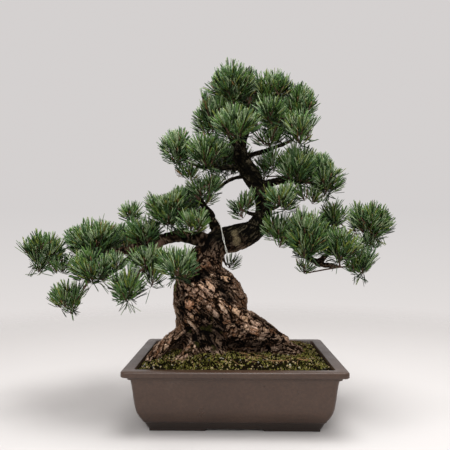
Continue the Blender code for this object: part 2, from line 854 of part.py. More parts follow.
def ring_about(bm, centre, side, depth, radius, turn):
    """A ring of three points, square to a twig or to a spray's axis."""
    ring = []
    for k in range(TWIG_SIDES):
        angle = 2 * math.pi * (k + turn) / TWIG_SIDES
        way = side * math.cos(angle) + depth * math.sin(angle)
        ring.append(bm.verts.new(centre + way * radius))
    return ring


def raise_needle(bm, corners, tip):
    """A face of the core, or the three faces of the needle that it rises to."""
    if tip is None:
        bm.faces.new(corners)
        return
    point = bm.verts.new(tip)
    for first, second in zip(corners, corners[1:] + corners[:1]):
        bm.faces.new((first, second, point))


def spray_object(spray):
    """A three-sided twig that ends in a slim core, whose faces rise to needles."""
    bm = bmesh.new()
    side, depth = rings_along([spray.centre, spray.centre + spray.axis])[0]
    neck = spray.centre - spray.axis * CORE_SOLE
    line = [spray.centre, neck, spray.middle, spray.start]
    halves = (CORE_WIDTH / 2, TWIG_THIN / 2, TWIG_THICK / 2, TWIG_FOOT / 2)
    rings = []
    for centre, half, (way, across) in zip(line, halves, rings_along(line, side)):
        rings.append(ring_about(bm, centre, way, -across, half, 0.5 if rings else 0))
    core, *rings = rings
    rings.reverse()
    pole = bm.verts.new(spray.centre + spray.axis * CORE_TOP)
    for low, high in zip(rings, rings[1:]):
        for k in range(TWIG_SIDES):
            after = (k + 1) % TWIG_SIDES
            bm.faces.new((low[k], low[after], high[after], high[k]))
    bm.faces.new(rings[0][::-1])
    rising, spreading, hanging = (spray.tips[k : k + TWIG_SIDES] for k in (0, 3, 6))
    for k in range(TWIG_SIDES):
        after = (k + 1) % TWIG_SIDES
        raise_needle(bm, (core[k], core[after], pole), rising[k])
        raise_needle(bm, (rings[-1][k], core[after], core[k]), spreading[k])
        raise_needle(bm, (rings[-1][k - 1], rings[-1][k], core[k]), hanging[k])
    return to_object("spray", bm, "needles")


def stem_object(name, lines, stem_end):
    """The mass's stem: it starts a gap off the limb's end and runs straight on from it."""
    tip, onward = limb_end(name, lines)
    thick = BOUGHS[name].thin if name in BOUGHS else TRUNK[-1].width
    bm = bmesh.new()
    points = [tip + onward * GAP, stem_end + onward * TWIG_THICK / 2]
    add_tube(bm, points, tapered(len(points), thick, TWIG_THICK * STEM_SWELL), BOUGH_SIDES)
    return to_object("needles_" + MASS_NAMES.get(name, name), bm, "needles")


def build_masses(lines):
    """Each mass of needles, fused into one solid."""
    bars = limb_bars(lines)
    for name in PADS:
        stem_end, sprays = grow(name, lines, bars)
        mass = stem_object(name, lines, stem_end)
        apply_boolean(mass, "UNION", [spray_object(spray) for spray in sprays])
        keep_main_shell(mass)


def limb_bars(lines):
    """The trunk, the roots and the boughs as bars that the masses keep clear of."""
    bars = Bars()
    points, widths = trunk_line(TRUNK_RINGS)
    bars.add_line(points, trunk_half_sizes(widths))
    for root in ROOTS:
        line = sampled(limb_line(root.start, root), ROOT_RINGS)
        bars.add_line(line, tapered(ROOT_RINGS, root.thick, root.thin, root.belly))
    for name, bough in BOUGHS.items():
        line = sampled(lines[name], BOUGH_RINGS)
        bars.add_line(line, tapered(BOUGH_RINGS, bough.thick, bough.thin))
    return bars


def main():
    for leftover in list(bpy.data.objects):
        bpy.data.objects.remove(leftover)
    build_pot()
    build_soil()
    build_trunk()
    lines = bough_lines()
    build_boughs(lines)
    build_masses(lines)


main()
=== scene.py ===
"""Looks of a Japanese white pine bonsai in its pot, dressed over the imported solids.

The frame's origin is the centre of the pot's flat underside, +X is to the right of the tree's
front and +Y goes to its back. The limbs and the masses of needles follow the same sizes and the
same seeded rule as the solids, and are carried on to finer twigs and real needles.
"""

from __future__ import annotations

import json
import logging
import math
import random
from dataclasses import dataclass, field
from enum import Enum
from functools import cache
from typing import Iterable, NamedTuple, Sequence

import bmesh
import bpy
import numpy as np
from mathutils import Matrix, Vector, noise

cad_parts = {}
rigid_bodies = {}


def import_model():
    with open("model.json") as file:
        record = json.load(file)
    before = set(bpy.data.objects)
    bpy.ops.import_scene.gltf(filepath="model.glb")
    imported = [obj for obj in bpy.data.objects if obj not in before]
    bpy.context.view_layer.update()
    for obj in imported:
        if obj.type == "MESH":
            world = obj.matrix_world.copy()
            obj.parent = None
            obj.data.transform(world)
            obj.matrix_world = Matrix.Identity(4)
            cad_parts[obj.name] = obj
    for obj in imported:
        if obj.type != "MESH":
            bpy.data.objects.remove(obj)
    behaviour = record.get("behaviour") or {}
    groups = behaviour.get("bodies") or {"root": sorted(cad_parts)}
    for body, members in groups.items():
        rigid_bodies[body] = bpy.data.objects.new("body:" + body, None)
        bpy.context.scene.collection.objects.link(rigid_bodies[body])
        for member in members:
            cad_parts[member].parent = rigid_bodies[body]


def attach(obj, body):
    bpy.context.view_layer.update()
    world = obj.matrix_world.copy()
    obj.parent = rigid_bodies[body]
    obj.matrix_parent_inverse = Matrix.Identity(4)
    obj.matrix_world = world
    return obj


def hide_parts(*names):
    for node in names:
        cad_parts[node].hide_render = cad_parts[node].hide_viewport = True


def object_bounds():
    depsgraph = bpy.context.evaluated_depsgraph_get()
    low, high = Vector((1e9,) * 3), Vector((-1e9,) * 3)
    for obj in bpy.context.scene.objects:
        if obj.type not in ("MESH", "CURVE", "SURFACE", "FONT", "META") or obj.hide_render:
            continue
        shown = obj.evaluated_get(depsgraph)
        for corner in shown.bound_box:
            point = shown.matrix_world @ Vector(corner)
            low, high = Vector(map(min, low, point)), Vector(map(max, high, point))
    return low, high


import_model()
CAD_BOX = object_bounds()

log = logging.getLogger("bonsai")

GROUND = 0.108
EYE_AWAY = 0.9116
EYE_HEIGHT = 0.314
GOLDEN_ANGLE = math.pi * (3 - math.sqrt(5))
UP = Vector((0, 0, 1))
NOISE_SEED = 7
TENTHS_PER_METRE = 10000
Colour = tuple[float, float, float]
Source = bpy.types.NodeSocket | float | Colour


class Knot(NamedTuple):
    """One place on the trunk's centre line."""

    side: float
    height: float
    width: float


class Root(NamedTuple):
    """A surface root, stub or knob: where it starts, how it runs and how thick it is."""

    start: tuple
    heading: float
    rise: float
    length: float
    lift: float
    thick: float
    thin: float
    belly: float = 0.0
    turn: float = 0.0
    dip: float = 0.0


class Bough(NamedTuple):
    """A limb: its parent, the share of the parent's length where it leaves, and its run."""

    parent: str
    leaves_at: float
    heading: float
    rise: float
    length: float
    turn: float
    lift: float
    thick: float
    thin: float
    dip: float = 0.0


class Pad(NamedTuple):
    """The space of one cushion of needles: centre, half sizes and count of sprays."""

    x: float
    y: float
    z: float
    half_width: float
    half_depth: float
    half_height: float
    sprays: int

    @property
    def centre(self) -> Vector:
        """The middle of the cushion."""
        return Vector(self[:3])


def metres(lengths: Sequence[int], per_metre: int = 1000) -> list[float]:
    """Whole lengths, in millimetres unless something else is said, as metres."""
    return [length / per_metre for length in lengths]


def cushions(*rows: tuple[int, ...]) -> tuple[Pad, ...]:
    """Cushions from rows of lengths in millimetres, each with its count of sprays last."""
    return tuple(Pad(*metres(row[:-1]), row[-1]) for row in rows)


TRUNK = tuple(
    Knot(*metres(row))
    for row in (
        (-52, 100, 124), (-48, 160, 130), (-48, 200, 136), (-55, 236, 116), (-57, 266, 82),
        (-46, 292, 55), (-28, 313, 50), (8, 322, 49), (38, 337, 40), (54, 366, 31),
        (53, 400, 31), (36, 433, 34), (14, 472, 30), (14, 504, 21), (29, 548, 12), (30, 578, 9),
    )
)

ROOTS = (
    Root((-0.070, -0.036, 0.236), 2, -34, 0.200, 4, 0.028, 0.014, belly=0.006, turn=10),
    Root((-0.040, -0.008, 0.148), -5, -4, 0.168, -20, 0.092, 0.019),
    Root((-0.058, -0.008, 0.150), -146, -2, 0.134, -44, 0.042, 0.013),
    Root((-0.045, -0.026, 0.132), -138, -6, 0.094, -36, 0.032, 0.011),
    Root((-0.060, 0.016, 0.146), 142, -4, 0.126, -44, 0.044, 0.014),
    Root((-0.024, 0.016, 0.146), 54, -4, 0.122, -44, 0.042, 0.014),
    Root((0.000, 0.012, 0.178), 6, -10, 0.104, -40, 0.024, 0.011),
    Root((-0.086, -0.015, 0.220), 180, 76, 0.040, 0, 0.028, 0.018),
)

BURLS = ((Vector((0.000, -0.006, 0.204)), 0.024), (Vector((-0.083, -0.036, 0.204)), 0.018))
SCARS = ((Vector((0.004, -0.030, 0.312)), 0.0075), (Vector((0.000, -0.028, 0.330)), 0.0050))
OTHER_SEEDS = {"left_front": 8}

BOUGHS = {
    "left": Bough("trunk", 0.38, 185, 37, 0.209, -13, -38, 0.022, 0.010, dip=-32),
    "left_front": Bough("left", 0.70, -122, -42, 0.088, -16, 13, 0.009, 0.0055),
    "left_low": Bough("left", 0.50, -91, -45, 0.097, -41, 9, 0.009, 0.0055),
    "left_inner": Bough("left", 0.60, 116, 12, 0.041, 76, 46, 0.008, 0.005),
    "left_fan": Bough("trunk", 0.28, -128, -16, 0.102, 31, 36, 0.010, 0.0055),
    "left_back": Bough("left", 0.45, 123, 9, 0.131, 27, -31, 0.009, 0.0055),
    "shelf": Bough("trunk", 0.41, 176, 54, 0.089, -9, -15, 0.016, 0.008, dip=25),
    "upper_left": Bough("shelf", 0.32, -165, 71, 0.078, -20, -111, 0.010, 0.006, dip=12),
    "shelf_back": Bough("trunk", 0.42, 105, 34, 0.126, 48, -9, 0.010, 0.006),
    "arm": Bough("trunk", 0.78, -165, -13, 0.092, -15, 32, 0.011, 0.006, dip=-7),
    "arm_back": Bough("trunk", 0.80, 98, 10, 0.082, 20, 10, 0.009, 0.006),
    "lower_arm": Bough("trunk", 0.73, 180, 9, 0.064, -33, -43, 0.007, 0.005),
    "crown_left": Bough("trunk", 0.84, 160, 43, 0.056, 18, 14, 0.010, 0.006),
    "crown_front": Bough("trunk", 0.83, -101, 1, 0.065, 9, 10, 0.008, 0.0055),
    "crown_right": Bough("trunk", 0.80, 3, 36, 0.091, -14, -9, 0.010, 0.006, dip=-18),
    "crown_back": Bough("trunk", 0.90, 68, 17, 0.084, 10, 19, 0.009, 0.006),
    "right_upper": Bough("trunk", 0.67, -27, 42, 0.086, 34, -55, 0.014, 0.007, dip=-3),
    "right_rear": Bough("trunk", 0.69, 63, 21, 0.087, -25, -8, 0.009, 0.006),
    "right_centre": Bough("trunk", 0.61, -71, -6, 0.058, 17, 19, 0.008, 0.0055),
    "inner": Bough("trunk", 0.60, -141, -28, 0.039, -12, 52, 0.007, 0.005),
    "low_right": Bough("trunk", 0.55, -18, -1, 0.161, 15, 4, 0.017, 0.008, dip=-46),
    "near_right": Bough("low_right", 0.45, -95, -29, 0.032, 37, 35, 0.007, 0.0055),
    "tip_right": Bough("low_right", 0.83, 56, 25, 0.081, -43, 19, 0.009, 0.006),
    "back_right": Bough("low_right", 0.20, 72, 2, 0.108, -29, -21, 0.009, 0.006),
    "neck": Bough("trunk", 0.37, 62, -20, 0.058, 10, -10, 0.006, 0.0045),
}

PADS = {
    "left": cushions((-365, 0, 294, 44, 42, 45, 8), (-270, 0, 319, 59, 45, 44, 9)),
    "left_front": cushions((-244, -70, 269, 49, 38, 38, 7), (-293, -55, 215, 39, 36, 39, 6)),
    "left_low": cushions((-184, -95, 242, 37, 34, 41, 6), (-153, -60, 278, 37, 34, 39, 6)),
    "left_inner": cushions((-200, 10, 369, 29, 28, 31, 4), (-171, -10, 332, 43, 38, 37, 7)),
    "left_fan": cushions((-94, -112, 276, 37, 36, 38, 7)),
    "left_back": cushions((-250, 95, 317, 73, 45, 42, 9)),
    "upper_left": cushions((-121, -10, 379, 47, 44, 45, 9), (-64, -44, 352, 34, 30, 26, 4)),
    "shelf": cushions((-56, 0, 415, 40, 38, 34, 7)),
    "shelf_back": cushions((-113, 90, 396, 58, 42, 42, 8)),
    "trunk": cushions((-6, 0, 614, 52, 46, 46, 9), (70, 0, 606, 42, 40, 36, 7)),
    "arm": cushions((-109, 0, 495, 35, 36, 48, 7), (-49, -24, 482, 44, 36, 37, 6)),
    "arm_back": cushions((-20, 105, 492, 62, 42, 42, 8)),
    "lower_arm": cushions((-40, 30, 430, 25, 26, 22, 3)),
    "crown_left": cushions((-45, 10, 560, 42, 42, 50, 9)),
    "crown_front": cushions((4, -85, 518, 48, 38, 36, 8)),
    "crown_right": cushions(
        (122, -35, 522, 40, 36, 34, 7), (126, 5, 574, 36, 36, 46, 7),
        (66, -40, 552, 34, 32, 34, 5),
    ),
    "crown_back": cushions((-19, 90, 588, 50, 45, 50, 7), (104, 90, 580, 54, 45, 50, 7)),
    "right_upper": cushions((117, -12, 458, 43, 40, 44, 8), (176, 0, 444, 38, 38, 47, 7)),
    "right_rear": cushions((147, 85, 473, 58, 42, 41, 8), (61, 70, 462, 26, 28, 34, 3)),
    "right_centre": cushions((84, -60, 394, 39, 34, 32, 6)),
    "inner": cushions((16, -22, 386, 30, 30, 34, 4)),
    "near_right": cushions((127, -62, 326, 41, 38, 50, 7), (80, -36, 333, 32, 32, 48, 5)),
    "tip_right": cushions((255, 0, 353, 47, 44, 43, 9), (197, 40, 365, 36, 34, 34, 5)),
    "low_right": cushions(
        (187, -55, 306, 39, 36, 39, 7), (236, -15, 276, 34, 34, 37, 5),
        (132, 15, 267, 28, 24, 18, 2),
    ),
    "back_right": cushions((148, 95, 334, 67, 42, 46, 9)),
    "neck": cushions((-9, 45, 273, 26, 24, 22, 2)),
}

FILLERS = {
    "trunk": cushions((32, 10, 585, 28, 30, 22, 3)),
    "crown_back": cushions((40, 52, 580, 50, 30, 34, 5)),
    "right_rear": cushions((140, 45, 462, 44, 28, 30, 4)),
    "back_right": cushions((160, 48, 335, 50, 28, 30, 4)),
    "shelf_back": cushions((-105, 50, 392, 44, 28, 28, 4)),
    "left_back": cushions((-250, 52, 316, 56, 28, 28, 5)),
    "crown_right": cushions((64, 0, 512, 36, 30, 24, 5), (120, 0, 598, 32, 28, 26, 3)),
    "right_upper": cushions((140, -4, 404, 36, 30, 20, 4), (74, -4, 470, 26, 26, 34, 5)),
    "near_right": cushions((146, -10, 376, 30, 24, 16, 3)),
    "upper_left": cushions((-38, -10, 366, 20, 20, 30, 4), (-84, -34, 340, 34, 20, 14, 4)),
    "left_front": cushions((-205, -75, 276, 26, 24, 22, 3)),
    "left": cushions((-325, -10, 268, 28, 26, 20, 3)),
    "left_low": cushions((-143, -70, 250, 22, 22, 24, 2), (-235, -45, 264, 30, 24, 16, 3)),
    "arm": cushions((-85, 0, 448, 28, 24, 18, 3), (-30, 45, 490, 44, 28, 28, 4)),
    "tip_right": cushions((262, 0, 312, 26, 24, 16, 2)),
}


class Fold(NamedTuple):
    """A crease or a swelling of the trunk's front, as a line seen from the front.

    It rises by this much in a band of this half width, and is paler or darker there: darker is
    painted shade, paler is pale bark and, on ridges and root tops, painted highlight.
    """

    x: float
    z: float
    to_x: float
    to_z: float
    half_width: float
    rise: float
    pale: float


# Negative paleness darkens creases, the hollow, the left edge, the neck under the bough and the
# trunk's foot as painted shade; positive paleness is pale bark, and along ridges and root tops also
# painted highlight.
FOLDS = tuple(
    Fold(*metres(row[:-1], TENTHS_PER_METRE), row[-1])
    for row in (
        (-558, 2422, -376, 2231, 22, -60, -0.90), (-598, 2293, -311, 2084, 15, -35, -0.80),
        (-860, 2430, -494, 2558, 70, -60, -1.00), (-476, 2658, -267, 2576, 34, -40, -0.80),
        (-229, 2405, -102, 2365, 20, -40, -0.90), (-240, 2400, -80, 2080, 125, -60, -0.85),
        (-193, 2020, -11, 1700, 21, -50, -0.90), (-11, 1700, 150, 1530, 21, -40, -0.80),
        (-540, 1600, -340, 1440, 200, -90, -0.60), (-950, 2300, -940, 1850, 60, -40, -0.75),
        (-1040, 2250, -1000, 1750, 60, -30, -0.65), (-830, 2360, -420, 2180, 190, 10, 0.62),
        (-200, 2040, 360, 1560, 110, 16, 0.68), (-660, 2880, -400, 2620, 90, 0, 0.22),
        (820, 1480, 1200, 1330, 120, 0, 0.20), (400, 1800, 880, 1500, 60, 0, -0.80),
        (200, 1480, 850, 1260, 150, 0, -0.42), (-600, 3180, -200, 3120, 160, 0, -0.50),
        (-150, 1310, 620, 1270, 110, -30, -0.85), (60, 2180, 150, 2060, 70, 0, 0.16),
        (-800, 1500, -1120, 1120, 110, -40, -0.75), (-570, 1400, -967, 1115, 65, 40, 0.42),
        (-1047, 1416, -1337, 1189, 60, 30, 0.36),
    )
)


class Plate(NamedTuple):
    """A large plate of bark on the trunk's front: middle, half sizes, turn, tone and paleness."""

    x: float
    z: float
    half_length: float
    half_width: float
    turn: float
    tone: float
    pale: float


PLATES = tuple(
    Plate(*metres(row[:4], TENTHS_PER_METRE), *row[4:])
    for row in (
        (-172, 2476, 111, 52, 22, 0.78, 0.58), (-424, 2343, 150, 38, 45, 0.62, 0.90),
        (-509, 2257, 215, 45, 41, 0.62, 0.95), (-607, 2218, 134, 45, 45, 0.55, 0.85),
        (-831, 2280, 54, 64, 60, 0.60, 0.70), (-718, 2253, 50, 81, 60, 0.62, 0.80),
        (-820, 2013, 102, 109, 0, 0.05, 0.48), (-786, 1815, 81, 47, 35, 0.70, 0.40),
        (-195, 2021, 125, 32, 42, 0.66, 0.75), (29, 1885, 99, 61, 38, 0.78, 0.66),
        (190, 1756, 82, 52, 40, 0.80, 0.62), (378, 1666, 116, 47, 30, 0.72, 0.70),
        (566, 1537, 81, 47, 40, 0.62, 0.50), (1032, 1376, 170, 82, 22, 0.80, 0.45),
        (-956, 1483, 161, 39, -38, 0.70, 0.30),
    )
)


class Gap(NamedTuple):
    """A round place beside the crown, seen from the front, where the sky shows."""

    x: float
    z: float
    radius: float


GAPS = tuple(
    Gap(*metres(row))
    for row in (
        (-73, 647, 34), (217, 488, 36), (64, 276, 40), (121, 222, 30), (164, 226, 34),
        (292, 256, 35), (318, 387, 28), (-422, 275, 28), (-270, 203, 17), (-352, 172, 26),
        (-182, 424, 16), (-139, 434, 30), (-93, 590, 28), (-4, 411, 16), (172, 529, 22),
        (-310, 368, 22),
    )
)


class Region(Enum):
    """The parts of the crown whose needles are joined into one piece each."""

    OUTER_LEFT = ("left", "left_front", "left_low", "left_back", "left_fan")
    INNER_LEFT = ("left_inner", "upper_left", "shelf", "shelf_back", "lower_arm", "neck", "inner")
    UPPER = ("arm", "arm_back", "right_upper", "right_rear", "right_centre")
    CROWN = ("trunk", "crown_left", "crown_front", "crown_right", "crown_back")
    LOWER_RIGHT = ("near_right", "tip_right", "low_right", "back_right")


# Paths of the trunk and the limbs


def eased(value: np.ndarray | float, low: float, high: float) -> np.ndarray | float:
    """A smooth step from 0 at the low value to 1 at the high one."""
    share = np.clip((value - low) / (high - low), 0, 1)
    return share * share * (3 - 2 * share)


def wavy(points: np.ndarray, scale: float, shift: Sequence[float] = (0, 0, 0)) -> np.ndarray:
    """Soft noise from -1 to 1 at each point, whose scale is in waves per metre."""
    return np.array([noise.noise(Vector(point) * scale + Vector(shift)) for point in points])


def frames_along(points: Sequence[Vector], side: Vector = Vector((1, 0, 0))) -> list:
    """A side and a depth direction square to a line at each point, carried on without spin.

    Args:
        points: The line.
        side: The first side direction, made square to the line.

    Returns:
        One pair of directions for each point.
    """
    last = len(points) - 1
    found = []
    for index in range(last + 1):
        along = (points[min(index + 1, last)] - points[max(index - 1, 0)]).normalized()
        if abs(side.dot(along)) > 0.95:
            side = Vector((0, 1, 0))
        side = (side - along * side.dot(along)).normalized()
        found.append((side, along.cross(side)))
    return found


def at_share(points: Sequence[Vector], share: float) -> Vector:
    """The point this share of the way along an evenly stepped line."""
    return points[round(share * (len(points) - 1))]


def sampled(points: Sequence[Vector], count: int) -> list[Vector]:
    """This many points of an evenly stepped line, ends included."""
    return [at_share(points, k / (count - 1)) for k in range(count)]


def tapered(count: int, thick: float, thin: float, belly: float = 0.0) -> list[float]:
    """Radii of round rings from thick to thin, with a belly half way."""
    shares = np.linspace(0, 1, count)
    return list((thick + (thin - thick) * shares + belly * np.sin(np.pi * shares)) / 2)


@dataclass
class Skeleton:
    """The centre lines of the trunk, the roots and the boughs, as the solids have them."""

    steps: int = 60
    sway: float = 0.008
    sway_crest: float = 0.46
    sway_wave: float = 0.56
    sway_starts: float = 0.3
    flat_foot: float = 0.2
    foot_from: float = 0.060
    foot_over: float = 0.070
    knot_steps: int = 12
    trunk_rings: int = 25
    limb_rings: int = 6
    lines: dict = field(default_factory=dict)

    def __post_init__(self) -> None:
        """Works out every bough's line, each from its parent's."""
        self.lines["trunk"] = self.trunk_line(self.steps * 5 + 1)[0]
        for name, bough in BOUGHS.items():
            start = at_share(self.lines[bough.parent], bough.leaves_at)
            self.lines[name] = self.limb_line(start, bough)

    def trunk_line(self, count: int) -> tuple[list[Vector], list[float]]:
        """The trunk's centre line at even steps.

        Args:
            count: How many points.

        Returns:
            The points and the widths there.
        """
        knots = [np.array(knot) for knot in TRUNK]
        knots = [2 * knots[0] - knots[1]] + knots + [2 * knots[-1] - knots[-2]]
        rows = []
        for before, start, end, after in zip(knots, knots[1:], knots[2:], knots[3:]):
            for t in np.arange(self.knot_steps) / self.knot_steps:
                bend = 2 * before - 5 * start + 4 * end - after
                twist = 3 * start - before - 3 * end + after
                rows.append(start + 0.5 * ((end - before) * t + bend * t**2 + twist * t**3))
        rows = np.array(rows + [knots[-2]])
        run = np.r_[0, np.cumsum(np.hypot(*np.diff(rows[:, :2], axis=0).T))]
        points = []
        widths = []
        for share in np.linspace(0, 1, count):
            side, height, width = (np.interp(share * run[-1], run, rows[:, k]) for k in range(3))
            turn = 2 * math.pi * (share - self.sway_crest) / self.sway_wave
            sway = -self.sway * math.cos(turn) * min(1, share / self.sway_starts)
            points.append(Vector((side, sway, height)))
            widths.append(width)
        return points, widths

    def limb_line(self, start: Iterable[float], limb: Root | Bough) -> list[Vector]:
        """Points of a limb that starts on a heading and a rise and turns and lifts as it runs.

        Args:
            start: Where it starts.
            limb: Its run.

        Returns:
            Evenly stepped points.
        """
        points = [Vector(start)]
        for step in range(self.steps):
            share = (step + 0.5) / self.steps
            heading = math.radians(limb.heading + limb.turn * share)
            dip = limb.dip * math.sin(math.pi * share)
            rise = math.radians(limb.rise + limb.lift * share + dip)
            flat = math.cos(rise)
            along = Vector((flat * math.cos(heading), flat * math.sin(heading), math.sin(rise)))
            points.append(points[-1] + along * limb.length / self.steps)
        return points

    def trunk_half_sizes(self, widths: Iterable[float]) -> list[tuple[float, float]]:
        """Half sizes of the trunk's rings: the fat foot is less deep than it is wide."""
        found = []
        for width in widths:
            flat = self.flat_foot * min(1, max(0, (width - self.foot_from) / self.foot_over))
            found.append((width / 2, width / 2 * (1 - flat)))
        return found

    def limb_end(self, name: str) -> tuple[Vector, Vector]:
        """The middle of a limb's end face, and the direction that it faces."""
        rings = self.trunk_rings if name == "trunk" else self.limb_rings
        before, tip = sampled(self.lines[name], rings)[-2:]
        return tip, (tip - before).normalized()

    def bars(self) -> Bars:
        """The trunk, the roots and the boughs as bars that new growth keeps clear of."""
        bars = Bars()
        points, widths = self.trunk_line(self.trunk_rings)
        bars.add_line(points, [half for half, _ in self.trunk_half_sizes(widths)])
        for root in ROOTS:
            line = sampled(self.limb_line(root.start, root), self.limb_rings)
            bars.add_line(line, tapered(self.limb_rings, root.thick, root.thin, root.belly))
        for name, bough in BOUGHS.items():
            line = sampled(self.lines[name], self.limb_rings)
            bars.add_line(line, tapered(self.limb_rings, bough.thick, bough.thin))
        return bars


# Rule that grows the twigs and the sprays of needles


class Bars:
    """Straight bars with a radius, which new twigs and needles must keep clear of."""

    clearance = 0.0008

    def __init__(self) -> None:
        """Starts with no bars."""
        self.starts = np.empty((0, 3))
        self.ends = np.empty((0, 3))
        self.radii = np.empty(0)

    def add(self, starts: Sequence, ends: Sequence, radii: Sequence | float) -> None:
        """Adds one bar, or a row of them."""
        self.starts = np.vstack((self.starts, starts))
        self.ends = np.vstack((self.ends, ends))
        self.radii = np.append(self.radii, radii)

    def add_line(self, points: Sequence[Vector], radii: Sequence[float]) -> None:
        """Adds a bar for each step of a line."""
        self.add(points[:-1], points[1:], radii[:-1])

    def clear(self, start: Vector, end: Vector, radius: float) -> bool:
        """Whether a new bar stays clear of every bar here.

        Args:
            start: The new bar's start.
            end: Its end.
            radius: Its radius.

        Returns:
            True where nothing comes nearer than the clearance.
        """
        if not len(self.radii):
            return True
        start = np.array(start)
        along = np.array(end) - start
        theirs = self.ends - self.starts
        apart = start - self.starts
        a = along @ along + 1e-12
        e = (theirs * theirs).sum(axis=1) + 1e-12
        b = theirs @ along
        c = apart @ along
        f = (theirs * apart).sum(axis=1)
        s = np.clip((b * f - c * e) / np.maximum(a * e - b * b, 1e-15), 0, 1)
        t = np.clip((b * s + f) / e, 0, 1)
        s = np.clip((b * t - c) / a, 0, 1)
        between = apart + s[:, None] * along - t[:, None] * theirs
        gaps = np.linalg.norm(between, axis=1) - self.radii - radius
        return gaps.min() > self.clearance


class Spray(NamedTuple):
    """A bent twig and the spray of needles at its end, its cushion and the run that leads to it."""

    start: Vector
    middle: Vector
    centre: Vector
    axis: Vector
    tips: list
    pad: Pad
    run: float


class Tuft(NamedTuple):
    """A brush of needles along the upright end of a shoot, from its heel to its tip."""

    heel: Vector
    tip: Vector
    axis: Vector
    height: float


def nearness(point: Vector, pad: Pad) -> float:
    """0 at the pad's centre, 1 on its outline."""
    away = ((point.x - pad.x) / pad.half_width, (point.y - pad.y) / pad.half_depth)
    return math.hypot(*away, (point.z - pad.z) / pad.half_height)


def in_sky(points: np.ndarray, slack: np.ndarray | float) -> np.ndarray:
    """Which points show, from the front, in a gap beside the crown.

    Args:
        points: Rows of x, y and z.
        slack: How much of each gap's radius counts, for each point.

    Returns:
        True for the points in a gap.
    """
    share = EYE_AWAY / (EYE_AWAY + points[:, 1])
    across = points[:, 0] * share
    high = EYE_HEIGHT + (points[:, 2] - EYE_HEIGHT) * share
    found = np.zeros(len(points), bool)
    for gap in GAPS:
        found |= np.hypot(across - gap.x, high - gap.z) < gap.radius * slack
    return found


def ball_way(number: int, count: int, depth: float, angle: float) -> tuple[float, float, float]:
    """One of many directions that are spread over a ball from its top down.

    Args:
        number: Which of them.
        count: How many there are.
        depth: How far down they reach: 1 to the middle, 2 to the bottom.
        angle: Its angle about the upright.

    Returns:
        Its x, y and z.
    """
    height = 1 - depth * (number + 0.5) / count
    flat = math.sqrt(max(0, 1 - height * height))
    return flat * math.cos(angle), flat * math.sin(angle), height


